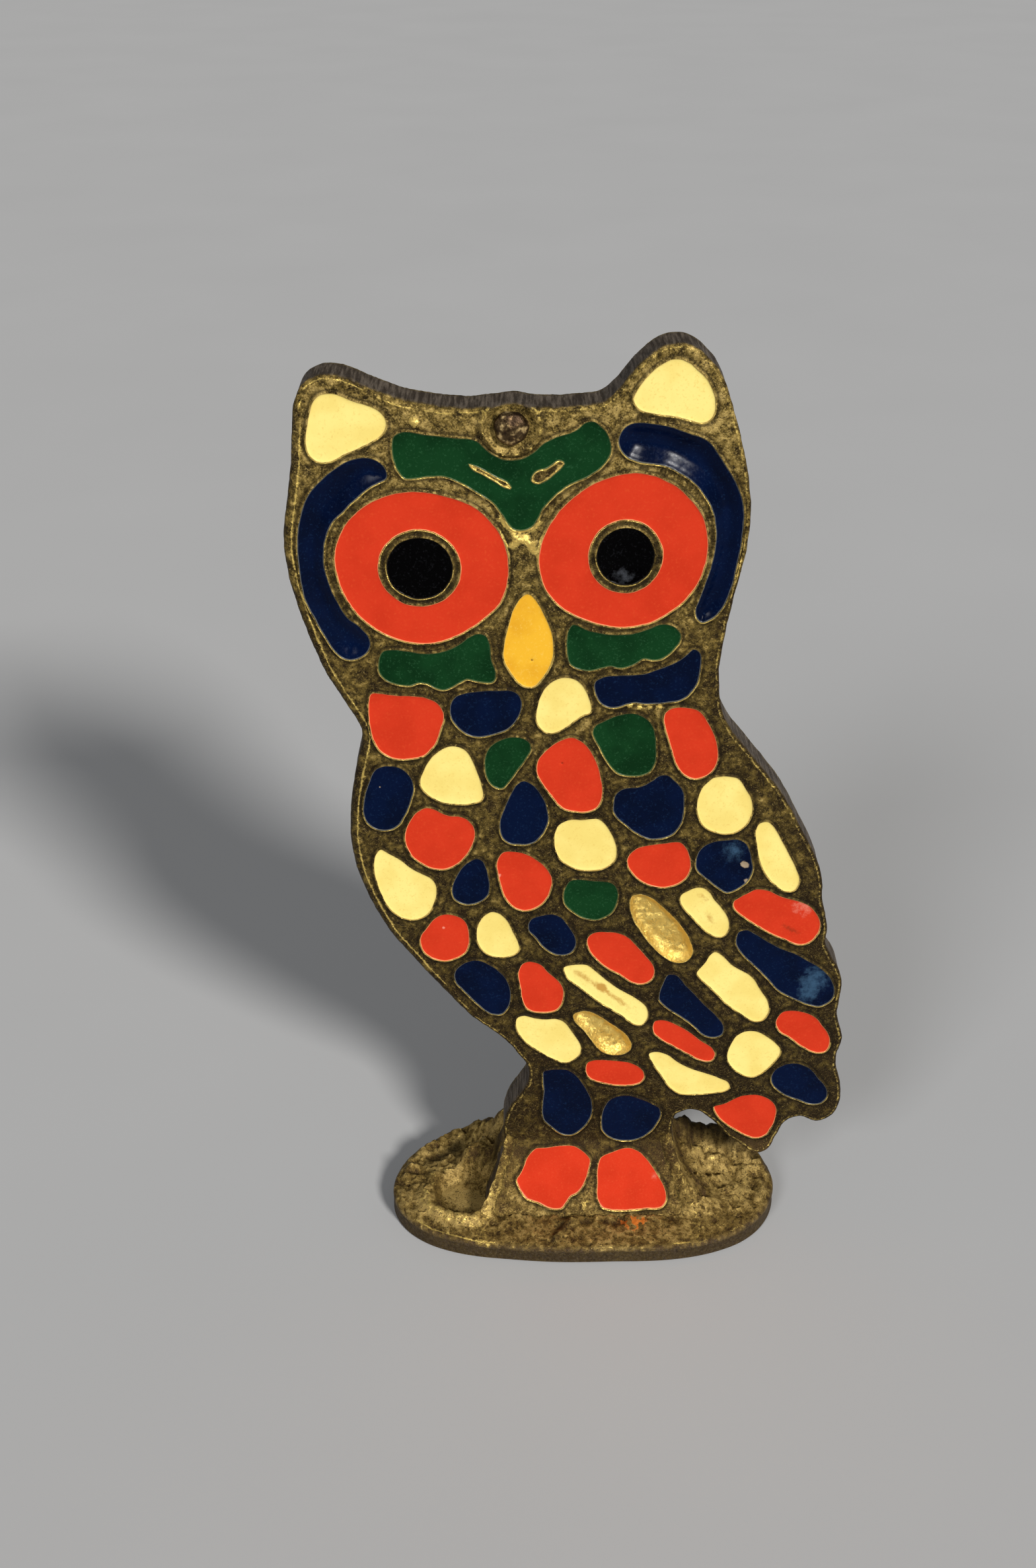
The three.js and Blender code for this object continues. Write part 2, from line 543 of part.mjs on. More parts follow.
    name: 'feather_7c_cream',
    look: CREAM,
    outline: [
      [16.3, 25.2], [17.3, 25.8], [18.5, 25.7], [19.6, 25.0], [20.6, 24.1], [21.2, 23.1],
      [20.7, 21.8], [19.9, 20.6], [19.0, 19.7], [18.0, 19.4], [16.9, 20.0], [15.9, 20.9],
      [15.4, 22.3], [15.7, 23.9],
    ],
  },
  {
    name: 'feather_7d_red',
    look: RED,
    outline: [
      [21.0, 28.4], [22.2, 28.6], [23.4, 28.3], [24.5, 27.7], [25.3, 26.6], [26.1, 25.4],
      [26.4, 24.0], [25.9, 22.9], [24.7, 22.9], [23.4, 23.7], [22.1, 24.8], [20.8, 25.8],
      [20.3, 27.1],
    ],
  },
  {
    name: 'feather_8a_red',
    look: RED,
    outline: [
      [0.3, 21.5], [1.3, 21.8], [2.9, 21.75], [4.5, 21.55], [5.8, 20.9], [6.5, 19.9],
      [6.3, 18.8], [5.2, 18.25], [3.6, 18.25], [1.9, 18.6], [0.5, 19.3], [0.05, 20.5],
    ],
  },
  {
    name: 'feather_8b_cream',
    look: CREAM,
    outline: [
      [6.9, 22.7], [7.8, 23.0], [9.0, 22.5], [10.3, 21.4], [11.8, 20.5], [13.4, 19.9],
      [14.9, 19.2], [16.0, 18.4], [15.8, 17.6], [14.3, 17.15], [12.4, 16.95], [10.6, 17.0],
      [9.4, 17.9], [8.5, 19.4], [7.5, 21.1],
    ],
  },
  {
    name: 'feather_8c_blue',
    look: BLUE,
    outline: [
      [21.4, 20.95], [22.5, 21.4], [23.7, 21.1], [24.7, 20.5], [25.5, 19.4], [26.4, 18.2],
      [26.8, 16.9], [26.3, 15.7], [25.1, 15.5], [23.7, 16.1], [22.2, 16.8], [20.9, 17.9],
      [20.4, 19.2], [20.7, 20.3],
    ],
  },
  {
    name: 'tail_red',
    look: RED,
    outline: [
      [14.4, 15.2], [15.6, 15.6], [16.6, 16.4], [18.0, 16.85], [19.4, 16.8], [20.6, 16.1],
      [21.3, 15.0], [21.35, 13.5], [20.9, 12.0], [20.3, 10.9], [19.1, 10.6], [17.7, 11.3],
      [16.3, 12.3], [15.0, 13.6],
    ],
  },
  {
    name: 'leg_left_blue',
    look: BLUE,
    outline: [
      [-4.5, 20.2], [-3.5, 20.5], [-1.9, 20.4], [-0.9, 19.6], [-0.1, 18.3], [0.6, 16.8],
      [0.95, 15.2], [0.7, 13.4], [-0.2, 11.9], [-1.4, 11.0], [-2.5, 11.2], [-3.6, 12.2],
      [-4.5, 13.5], [-4.6, 15.5], [-4.5, 17.6], [-4.6, 19.2],
    ],
  },
  {
    name: 'leg_right_blue',
    look: BLUE,
    outline: [
      [2.5, 15.7], [3.3, 16.5], [4.7, 16.8], [6.2, 16.3], [7.5, 15.6], [8.5, 14.8],
      [8.5, 13.6], [8.0, 12.3], [7.1, 11.1], [5.9, 10.35], [4.5, 10.2], [3.1, 10.6],
      [2.2, 11.6], [1.95, 13.2], [2.1, 14.6],
    ],
  },
];

// the feet lie on the leaning face: (x, distance up the lean)
const FOOT_CELLS = [
  {
    name: 'foot_left_red',
    look: RED,
    outline: [
      [-5.3, 7.2], [-4.0, 7.3], [-2.6, 7.5], [-1.1, 7.5], [0.0, 6.9], [0.85, 5.9],
      [0.6, 4.6], [0.15, 3.2], [-0.5, 2.2], [-1.6, 1.5], [-2.3, 0.4], [-3.6, 0.3],
      [-4.8, 0.9], [-6.4, 1.5], [-7.1, 2.6], [-7.5, 3.5], [-6.9, 4.6], [-6.3, 6.1],
    ],
  },
  {
    name: 'foot_right_red',
    look: RED,
    outline: [
      [2.0, 6.2], [3.0, 6.7], [4.3, 7.2], [5.6, 7.2], [6.7, 6.5], [7.6, 5.5], [8.4, 4.2],
      [9.1, 2.9], [9.4, 1.5], [8.9, 0.5], [7.2, 0.3], [5.3, 0.15], [3.5, 0.15], [2.1, 0.5],
      [1.6, 1.6], [1.6, 3.3], [1.6, 5.0],
    ],
  },
];

// two cells whose enamel has fallen out: bare brass all the way down
const EMPTY_CELLS = [
  [
    [4.4, 43.3], [5.4, 43.5], [6.6, 42.9], [7.7, 41.8], [8.7, 40.7], [9.8, 39.2], [10.6, 37.7],
    [10.9, 36.3], [10.4, 35.2], [9.3, 34.95], [8.1, 35.6], [6.8, 37.0], [5.6, 38.7],
    [4.6, 40.6], [4.2, 42.2],
  ],
  [
    [-1.3, 28.1], [-0.2, 28.5], [1.1, 28.0], [2.4, 27.0], [3.6, 26.0], [4.6, 24.9],
    [4.9, 23.5], [4.1, 22.7], [2.8, 22.6], [1.6, 23.2], [0.8, 24.4], [-0.2, 26.0], [-1.2, 27.2],
  ],
];

// ---- small geometry helpers -----------------------------------------------------------------
const wasm = await Module();
wasm.setup();

function solidOf(geometry) {
  const bare = geometry.index ? geometry.toNonIndexed() : geometry.clone();
  bare.deleteAttribute('normal');
  bare.deleteAttribute('uv');
  const merged = mergeCoincident(bare);
  return new wasm.Manifold(new wasm.Mesh({
    numProp: 3,
    vertProperties: merged.vertices,
    triVerts: merged.triangles,
  }));
}

// joins corners that sit within a micrometre of each other
function mergeCoincident(geometry) {
  const position = geometry.getAttribute('position');
  const seen = new Map();
  const vertices = [];
  const triangles = [];
  for (let i = 0; i < position.count; i += 1) {
    const point = [position.getX(i), position.getY(i), position.getZ(i)];
    const key = point.map((value) => Math.round(value * 1000)).join(' ');
    if (!seen.has(key)) {
      seen.set(key, vertices.length / 3);
      vertices.push(...point);
    }
    triangles.push(seen.get(key));
  }
  return {
    vertices: Float32Array.from(vertices),
    triangles: Uint32Array.from(triangles),
  };
}

function meshOf(solid, name, look) {
  const data = solid.getMesh();
  const geometry = new THREE.BufferGeometry();
  const position = new THREE.BufferAttribute(new Float32Array(data.vertProperties), 3);
  geometry.setAttribute('position', position);
  geometry.setIndex(new THREE.BufferAttribute(new Uint32Array(data.triVerts), 1));
  geometry.computeVertexNormals();
  const mesh = new THREE.Mesh(geometry, new THREE.MeshStandardMaterial(look));
  mesh.name = name;
  return mesh;
}

// a smooth closed curve through the given points, cut into evenly spaced corners
function smoothOutline(points, spacing, fewest = FEWEST_CELL_POINTS) {
  const knots = points.map(([u, v]) => new THREE.Vector3(u, v, 0));
  const curve = new THREE.CatmullRomCurve3(knots, true, 'centripetal');
  const corners = Math.max(fewest, Math.round(curve.getLength() / spacing));
  return curve.getSpacedPoints(corners).slice(0, -1).map((p) => new THREE.Vector2(p.x, p.y));
}

function ellipseOutline({ centre, radii }, grow, spacing) {
  const [a, b] = radii.map((radius) => radius + grow);
  const corners = Math.max(FEWEST_CELL_POINTS, Math.round(Math.PI * (a + b) / spacing));
  return Array.from({ length: corners }, (unused, i) => {
    const angle = 2 * Math.PI * i / corners;
    return new THREE.Vector2(centre[0] + a * Math.cos(angle), centre[1] + b * Math.sin(angle));
  });
}

// moves every corner of an outline sideways; a positive distance shrinks the outline
function inset(outline, distance) {
  const turn = THREE.ShapeUtils.isClockWise(outline) ? -1 : 1;
  const count = outline.length;
  return outline.map((corner, i) => {
    const before = outline[(i + count - 1) % count];
    const after = outline[(i + 1) % count];
    const along = after.clone().sub(before).normalize();
    const inward = new THREE.Vector2(-along.y, along.x).multiplyScalar(turn * distance);
    return corner.clone().add(inward);
  });
}

// a frame whose local x runs right, local y up the face, and local z out of the face
function faceFrame(origin, up) {
  const right = new THREE.Vector3(1, 0, 0);
  const out = right.clone().cross(up);
  return new THREE.Matrix4().makeBasis(right, up, out).setPosition(origin);
}

// a flat-sided block between two depths on a face, with optional through-holes
function block(outline, from, to, frame, holes = []) {
  const clockwise = THREE.ShapeUtils.isClockWise(outline);
  const shape = new THREE.Shape(clockwise ? outline.toReversed() : outline);
  shape.holes = holes.map((hole) => new THREE.Path(hole));
  const geometry = new THREE.ExtrudeGeometry(shape, { depth: to - from, bevelEnabled: false });
  geometry.translate(0, 0, from);
  geometry.applyMatrix4(frame);
  return solidOf(geometry);
}

const SLOPE_RUN = SLOPE_TOP[0] - SLOPE_FOOT[0];
const SLOPE_RISE = SLOPE_TOP[1] - SLOPE_FOOT[1];
const UP_THE_SLOPE = new THREE.Vector3(0, SLOPE_RUN, SLOPE_RISE).normalize();
const FRONT_FRAME = faceFrame(new THREE.Vector3(0, FRONT, 0), new THREE.Vector3(0, 0, 1));
const SLOPE_FRAME = faceFrame(new THREE.Vector3(0, ...SLOPE_FOOT), UP_THE_SLOPE);

// ---- brass ----------------------------------------------------------------------------------
function bodyOutline() {
  return smoothOutline(BODY_OUTLINE, BODY_POINT_SPACING);
}

function plate() {
  const shape = new THREE.Shape(bodyOutline());
  const geometry = new THREE.ExtrudeGeometry(shape, {
    depth: PLATE_THICKNESS - 2 * EDGE_CHAMFER,
    bevelThickness: EDGE_CHAMFER,
    bevelSize: EDGE_CHAMFER,
    bevelOffset: -EDGE_CHAMFER,
    bevelSegments: 1,
  });
  geometry.translate(0, 0, EDGE_CHAMFER - PLATE_THICKNESS);
  geometry.applyMatrix4(FRONT_FRAME);
  return solidOf(geometry);
}

function footMound() {
  const outline = FOOT_MOUND_OUTLINE.map(([x, up]) => new THREE.Vector2(x, up));
  const leaning = block(outline, -SLOPE_BACKING, 0, SLOPE_FRAME);
  const keep = new THREE.BoxGeometry(60, 20, 40);
  keep.translate(0, BACK - EDGE_CHAMFER - 10, PLATE_ROOT_HEIGHT + 20);
  return leaning.intersect(solidOf(keep));
}

// how much a rounded ridge, running between two points of the ground, adds to the height
function ridge(x, y, from, to, height, width) {
  const line = new THREE.Line3(new THREE.Vector3(...from, 0), new THREE.Vector3(...to, 0));
  const here = new THREE.Vector3(x, y, 0);
  const nearest = line.closestPointToPoint(here, true, new THREE.Vector3());
  return height * Math.exp(-((nearest.distanceTo(here) / width) ** 2));
}

// height of the base's rough top; "out" is 0 at its middle and 1 at its edge
function baseTop(x, y, out) {
  const legRoot = ridge(x, y, [-7, 0.4], [9.5, 0.4], 3.6, 3.2);
  const rightShoulder = ridge(x, y, [11, 2.2], [17.5, 2.6], 2.4, 3.0);
  const backLeftRim = ridge(x, y, [-18.6, 2.4], [-10.5, 5.8], 2.6, 2.3);
  const frontLeftRim = ridge(x, y, [-17.6, -4.4], [-10.5, -6.4], 0.8, 1.5);
  const leftHollow = ridge(x, y, [-14.5, -1.2], [-12.5, -1.0], -0.9, 2.8);
  const relief = legRoot + rightShoulder + backLeftRim + frontLeftRim + leftHollow;
  const shelf = BASE_TOP_HEIGHT + BASE_CROWN * (1 - out * out);
  return shelf + relief * (1 - out ** 8);
}

function base() {
  const ground = smoothOutline(BASE_OUTLINE, BASE_POINT_SPACING);
  const [cx, cy] = BASE_CENTRE;
  const rings = [ground.map((p) => new THREE.Vector3(p.x, p.y, 0))];
  rings.push(ground.map((p) => new THREE.Vector3(p.x, p.y, BASE_EDGE_HEIGHT)));
  for (const out of BASE_RINGS) {
    rings.push(ground.map((p) => {
      const x = cx + out * (p.x - cx);
      const y = cy + out * (p.y - cy);
      return new THREE.Vector3(x, y, baseTop(x, y, out));
    }));
  }
  const top = new THREE.Vector3(cx, cy, baseTop(cx, cy, 0));
  return solidOf(cap(rings, new THREE.Vector3(cx, cy, 0), top));
}

// a closed skin over stacked rings, closed by a fan below the first and above the last
function cap(rings, bottom, top) {
  const count = rings[0].length;
  const corners = [];
  for (let i = 0; i < count; i += 1) {
    const next = (i + 1) % count;
    corners.push(bottom, rings[0][next], rings[0][i]);
    for (let level = 0; level + 1 < rings.length; level += 1) {
      const low = rings[level];
      const high = rings[level + 1];
      corners.push(low[i], low[next], high[next]);
      corners.push(low[i], high[next], high[i]);
    }
    const last = rings[rings.length - 1];
    corners.push(top, last[i], last[next]);
  }
  return new THREE.BufferGeometry().setFromPoints(corners);
}

// the raised round pad the rivet sits in, cut off along the top of the head
function boss() {
  const pad = { centre: RIVET_CENTRE, radii: [BOSS_RADIUS, BOSS_RADIUS] };
  const round = ellipseOutline(pad, 0, 2 * Math.PI * BOSS_RADIUS / BOSS_SIDES);
  const disc = block(round, -1, BOSS_HEIGHT, FRONT_FRAME);
  const trim = block(inset(bodyOutline(), EDGE_CHAMFER), -2, 2, FRONT_FRAME);
  return disc.intersect(trim);
}

function rivetHole() {
  const hole = { centre: RIVET_CENTRE, radii: [RIVET_SHANK_RADIUS, RIVET_SHANK_RADIUS] };
  const round = ellipseOutline(hole, RIVET_CLEARANCE, 2 * Math.PI * RIVET_SHANK_RADIUS / RIVET_SIDES);
  return block(round, -PLATE_THICKNESS - 1, 1, FRONT_FRAME);
}

// ---- cells and enamel -----------------------------------------------------------------------
function cellHoles(cell) {
  const islands = (cell.islands ?? []).map((line) => smoothOutline(line, 1.0));
  if (cell.pupil) islands.push(ellipseOutline(cell.pupil, EYE_RING_WIDTH, CELL_POINT_SPACING));
  return islands;
}

function cellCutter(cell, frame) {
  const outline = smoothOutline(cell.outline, CELL_POINT_SPACING);
  return block(outline, -CELL_DEPTH, CUT_OVERSHOOT, frame, cellHoles(cell));
}

function enamelFill(cell, frame) {
  const outline = inset(smoothOutline(cell.outline, CELL_POINT_SPACING), ENAMEL_GAP);
  const holes = cellHoles(cell).map((hole) => inset(hole, -ENAMEL_GAP));
  return block(outline, ENAMEL_GAP - CELL_DEPTH, -ENAMEL_SINK, frame, holes);
}

function pupilCutter(pupil) {
  const outline = ellipseOutline(pupil, 0, CELL_POINT_SPACING);
  return block(outline, -CELL_DEPTH, CUT_OVERSHOOT, FRONT_FRAME);
}

function pupilFill(pupil) {
  const outline = ellipseOutline(pupil, -ENAMEL_GAP, CELL_POINT_SPACING);
  return block(outline, ENAMEL_GAP - CELL_DEPTH, -ENAMEL_SINK, FRONT_FRAME);
}

function casting() {
  const cutters = [
    ...HEAD_CELLS.map((cell) => cellCutter(cell, FRONT_FRAME)),
    ...FEATHER_CELLS.map((cell) => cellCutter(cell, FRONT_FRAME)),
    ...FOOT_CELLS.map((cell) => cellCutter(cell, SLOPE_FRAME)),
    ...EMPTY_CELLS.map((outline) => cellCutter({ outline }, FRONT_FRAME)),
    pupilCutter(LEFT_PUPIL),
    pupilCutter(RIGHT_PUPIL),
  ];
  const plain = plate().add(footMound()).add(base());
  const sunk = cutters.reduce((metal, cutter) => metal.subtract(cutter), plain);
  return sunk.add(boss()).subtract(rivetHole());
}

// a domed head in front, a straight shank, and a tail closed flush with the back
function rivet() {
  const seat = BOSS_HEIGHT + RIVET_CLEARANCE;
  const profile = [new THREE.Vector2(0, -PLATE_THICKNESS)];
  profile.push(new THREE.Vector2(RIVET_SHANK_RADIUS, -PLATE_THICKNESS));
  profile.push(new THREE.Vector2(RIVET_SHANK_RADIUS, seat));
  const steps = 5;
  for (let i = 0; i < steps; i += 1) {
    const angle = (Math.PI / 2) * i / steps;
    const radius = RIVET_HEAD_RADIUS * Math.cos(angle);
    profile.push(new THREE.Vector2(radius, seat + RIVET_HEAD_HEIGHT * Math.sin(angle)));
  }
  profile.push(new THREE.Vector2(0, seat + RIVET_HEAD_HEIGHT));
  const geometry = new THREE.LatheGeometry(profile, RIVET_SIDES);
  geometry.rotateZ(Math.PI);
  geometry.translate(RIVET_CENTRE[0], FRONT, RIVET_CENTRE[1]);
  return solidOf(geometry);
}

// ---- the whole figure -----------------------------------------------------------------------
const owl = new THREE.Group();
owl.name = 'enamelled_brass_owl';
owl.add(meshOf(casting(), 'brass_casting', BRASS));
owl.add(meshOf(rivet(), 'head_rivet', DARK_BRASS));
for (const cell of [...HEAD_CELLS, ...FEATHER_CELLS]) {
  owl.add(meshOf(enamelFill(cell, FRONT_FRAME), cell.name, cell.look));
}
for (const cell of FOOT_CELLS) {
  owl.add(meshOf(enamelFill(cell, SLOPE_FRAME), cell.name, cell.look));
}
owl.add(meshOf(pupilFill(LEFT_PUPIL), 'pupil_left_black', BLACK));
owl.add(meshOf(pupilFill(RIGHT_PUPIL), 'pupil_right_black', BLACK));

export default owl;
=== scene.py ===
"""Looks for a small cast-brass owl whose sunk cells hold coloured enamel.

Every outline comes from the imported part. Lengths here are millimetres until a mesh is made.
Surfaces are made as sheets over flat points (u, v) with a height w, then turned into place:
the owl's face has u = x, v = z and w = -y, and its rocky base has u = x, v = y and w = z.
"""

import math

import bpy
import numpy as np
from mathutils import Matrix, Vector, noise
from mathutils.geometry import delaunay_2d_cdt
from mathutils.kdtree import KDTree


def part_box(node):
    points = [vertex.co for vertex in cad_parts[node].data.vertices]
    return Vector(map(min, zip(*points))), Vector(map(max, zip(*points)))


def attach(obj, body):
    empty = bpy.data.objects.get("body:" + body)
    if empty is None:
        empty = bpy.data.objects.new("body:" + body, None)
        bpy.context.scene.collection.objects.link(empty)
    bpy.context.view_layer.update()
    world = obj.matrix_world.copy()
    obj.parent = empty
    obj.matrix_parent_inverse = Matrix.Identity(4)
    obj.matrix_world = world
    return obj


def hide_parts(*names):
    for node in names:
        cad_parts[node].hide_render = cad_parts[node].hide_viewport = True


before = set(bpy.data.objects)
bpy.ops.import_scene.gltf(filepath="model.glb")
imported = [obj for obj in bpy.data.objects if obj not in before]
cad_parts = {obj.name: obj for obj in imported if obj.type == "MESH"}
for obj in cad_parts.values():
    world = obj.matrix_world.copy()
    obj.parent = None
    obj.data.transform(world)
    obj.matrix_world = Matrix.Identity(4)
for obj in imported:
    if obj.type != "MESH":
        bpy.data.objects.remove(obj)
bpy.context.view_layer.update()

MM = 0.001

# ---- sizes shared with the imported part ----
FACE_LEVEL = 2.0  # the flat front face, as a height over the plate's middle
CELL_DEPTH = 1.1
PLATE_CHAMFER = 0.3
SLOPE_TOP = 10.2  # below this z the face leans forward over the feet
SLOPE_FOOT = 3.0
SLOPE_RUN = 3.7
SLOPE_RISE = SLOPE_TOP - SLOPE_FOOT
SLOPE_LENGTH = math.hypot(SLOPE_RUN, SLOPE_RISE)
SLOPE_OUT = np.array([0.0, -SLOPE_RISE, SLOPE_RUN]) / SLOPE_LENGTH
SLOPE_START = np.array([0.0, -FACE_LEVEL, SLOPE_TOP])
RIVET_CENTRE = np.array([-7.9, 92.9])
RIVET_SEAT = 0.4

# ---- how finely things are meshed ----
EDGE_SPACING = 0.22
BASE_EDGE_SPACING = 0.4
RIM_STEPS = (0.07, 0.15, 0.27)
SHOULDER_STEPS = (0.07, 0.17, 0.32, 0.52, 0.78)
WEB_SPACING = 0.34
PLATE_SIDE_ROWS = 7
BACK_STEPS = (0.1, 0.25, 0.5)
BACK_SPACING = 0.8
ENAMEL_STEPS = (0.06, 0.13, 0.22, 0.36, 0.55)
ENAMEL_SPACING = 0.4
ROCK_STEPS = (0.07, 0.16, 0.32, 0.55)
ROCK_SPACING = 0.27
BASE_SIDE_ROWS = (0.2, 0.4, 0.6, 0.8)  # as shares of the way down
SMALLEST_SAMPLE = 0.07
SHARP_ANGLE = 50  # in degrees, above which an edge is shaded sharp

rng = np.random.default_rng(11)


# ---- flat outlines ----
def area_of(loop):
    ahead = np.roll(loop, -1, 0)
    return 0.5 * np.sum(loop[:, 0] * ahead[:, 1] - ahead[:, 0] * loop[:, 1])


def counter_clockwise(loop):
    return loop if area_of(loop) > 0 else loop[::-1]


def spaced_loop(loop, spacing, fewest=14):
    closed = np.vstack([loop, loop[:1]])
    lengths = np.hypot(*np.diff(closed, axis=0).T)
    reach = np.concatenate([[0], np.cumsum(lengths)])
    count = max(fewest, round(reach[-1] / spacing))
    at = np.linspace(0, reach[-1], count, endpoint=False)
    return np.stack([np.interp(at, reach, closed[:, axis]) for axis in (0, 1)], 1)


def smooth_loop(corners, spacing):
    """A closed centripetal Catmull-Rom line through the corners, in even steps."""
    near = [np.roll(corners, shift, 0) for shift in (1, 0, -1, -2)]
    times = [np.zeros((len(corners), 1))]
    for k in range(3):
        step = np.sqrt(np.linalg.norm(near[k + 1] - near[k], axis=1))[:, None]
        times.append(times[-1] + step)
    fine = []
    for share in np.linspace(0, 1, 10, endpoint=False):
        at = times[1] + share * (times[2] - times[1])
        thirds = [between(at, *times[k : k + 2], *near[k : k + 2]) for k in range(3)]
        halves = [between(at, *times[k : k + 3 : 2], *thirds[k : k + 2]) for k in range(2)]
        fine.append(between(at, *times[1:3], *halves))
    return spaced_loop(np.stack(fine, 1).reshape(-1, 2), spacing)


def between(at, start, end, first, last):
    """The value at a time, on the straight way from the first value to the last."""
    return ((end - at) * first + (at - start) * last) / (end - start)


def hand_cut(loop, amount=0.045):
    """Adds the small unevenness of an edge that was cut or filed by hand."""
    return loop + outward(loop) * (amount * grain(loop, 1.1, 3, 2.0))[:, None]


def outward(loop):
    """Unit normals to the right of the direction of travel."""
    along = np.roll(loop, -1, 0) - np.roll(loop, 1, 0)
    side = np.stack([along[:, 1], -along[:, 0]], 1)
    return side / np.linalg.norm(side, axis=1, keepdims=True)


def moved_out(loop, distance):
    return loop + distance * outward(loop)


def inside(points, loop):
    """Even-odd test of many points against one loop."""
    result = np.zeros(len(points), bool)
    low, high = loop.min(0), loop.max(0)
    near = np.flatnonzero(((points > low) & (points < high)).all(1))
    if len(near) == 0:
        return result
    x, y = points[near, 0][:, None], points[near, 1][:, None]
    ahead = np.roll(loop, -1, 0)
    rises = (loop[:, 1] > y) != (ahead[:, 1] > y)
    span = ahead[:, 1] - loop[:, 1]
    slant = np.divide(ahead[:, 0] - loop[:, 0], span, where=span != 0, out=np.zeros(len(loop)))
    crossing = loop[:, 0] + (y - loop[:, 1]) * slant
    result[near] = (rises & (x < crossing)).sum(1) % 2 == 1
    return result


class EdgeField:
    """Signed distance to a set of loops, positive on the side their normals point to."""

    def __init__(self, loops):
        samples = [spaced_loop(loop, SMALLEST_SAMPLE) for loop in loops]
        self.points = np.vstack(samples)
        self.normals = np.vstack([outward(loop) for loop in samples])
        self.tree = KDTree(len(self.points))
        for i, (u, v) in enumerate(self.points):
            self.tree.insert((u, v, 0), i)
        self.tree.balance()

    def measure(self, points):
        found = [self.tree.find((u, v, 0)) for u, v in points]
        index = np.array([f[1] for f in found], int)
        gap = np.array([f[2] for f in found])
        side = np.einsum("ij,ij->i", points - self.points[index], self.normals[index])
        return np.where(side >= 0, gap, -gap), self.normals[index]

    def gap(self, points):
        return self.measure(points)[0]

    def inset(self, points):
        return -self.measure(points)[0]


def honeycomb(loop, spacing, jitter):
    """Staggered rows of points over a loop's box, each moved a little at random."""
    low, high = loop.min(0), loop.max(0)
    rows = np.arange(low[1], high[1], spacing * math.sqrt(3) / 2)
    columns = np.arange(low[0], high[0], spacing)
    u, v = np.meshgrid(columns, rows)
    u = u + (np.arange(len(rows)) % 2)[:, None] * spacing / 2
    points = np.stack([u.ravel(), v.ravel()], 1)
    return points + rng.uniform(-jitter, jitter, points.shape) * spacing


def well_inside(points, loop, field, margin):
    points = points[inside(points, loop)]
    return points[field.inset(points) > margin]


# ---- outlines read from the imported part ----
def welded(node):
    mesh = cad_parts[node].data
    corners = np.array([v.co[:] for v in mesh.vertices]) / MM
    unique = np.unique(np.round(corners, 3), axis=0, return_index=True, return_inverse=True)
    triangles = np.array([p.vertices[:] for p in mesh.polygons])
    return corners[unique[1]], unique[2].ravel()[triangles]


def boundary_loops(corners, triangles):
    """The closed lines along edges that only one of the triangles has."""
    edges = {(int(a), int(b)) for t in triangles for a, b in zip(t, np.roll(t, -1))}
    onward = {a: b for a, b in edges if (b, a) not in edges}
    loops = []
    while onward:
        start = min(onward)
        loop = [start]
        here = onward.pop(start)
        while here != start:
            loop.append(here)
            here = onward.pop(here)
        loops.append(corners[loop])
    return loops


casting_corners, casting_triangles = welded("brass_casting")


def casting_loops(level):
    """Outlines of the casting's face where level, one number for each corner, is zero."""
    lying = (np.abs(level)[casting_triangles] < 0.01).all(1)
    return boundary_loops(casting_corners, casting_triangles[lying])


def cell_loops():
    """Every cell's edge on the face, counter-clockwise, with its islands clockwise."""
    front = casting_loops(casting_corners[:, 1] + FACE_LEVEL - CELL_DEPTH)
    depth = (casting_corners - SLOPE_START) @ SLOPE_OUT
    feet = [loop + CELL_DEPTH * SLOPE_OUT for loop in casting_loops(depth + CELL_DEPTH)]
    flat = [smooth_loop(loop[:, [0, 2]], EDGE_SPACING) for loop in [*front, *feet]]
    flat = [hand_cut(loop) for loop in flat]
    rims = sorted(flat, key=lambda loop: -abs(area_of(loop)))
    cells = []
    for loop in rims:
        middle = loop[:1]
        holders = [cell for cell in cells if inside(middle, cell["edge"])[0]]
        ring = counter_clockwise(loop)
        if not holders or is_pupil(ring, holders[-1]):
            cells.append({"edge": ring, "islands": []})
        else:
            holders[-1]["islands"].append(ring[::-1])
    return cells


def is_pupil(ring, holder):
    """A pupil lies inside the island that was cut from its iris."""
    return any(inside(ring[:1], island)[0] for island in holder["islands"])


# below the cut, the legs widen into roots that the base hides
LEG_CUT = 8.2
LEFT_ROOT = [(-9.7, 6.4), (-10.5, 3.6), (-11.0, 1.5), (-4.0, 1.1)]
RIGHT_ROOT = [(4.0, 1.1), (12.8, 1.5), (12.3, 4.2), (11.1, 6.6)]


def body_outline():
    """The plate's silhouette: its back face grown by the chamfer, with the buried leg roots."""
    back = max(casting_loops(casting_corners[:, 1] - FACE_LEVEL), key=len)
    loop = counter_clockwise(back[:, [0, 2]])
    high = loop[:, 1] > LEG_CUT
    start = np.flatnonzero(high & ~np.roll(high, 1))[0]
    shown = np.roll(loop, -start, 0)[: high.sum()]
    shown = moved_out(shown, PLATE_CHAMFER)
    corners = np.vstack([shown, LEFT_ROOT + RIGHT_ROOT])
    return hand_cut(smooth_loop(corners, EDGE_SPACING), 0.06)


def base_outline():
    sole = max(casting_loops(casting_corners[:, 2]), key=len)
    return smooth_loop(counter_clockwise(sole[:, :2]), BASE_EDGE_SPACING)


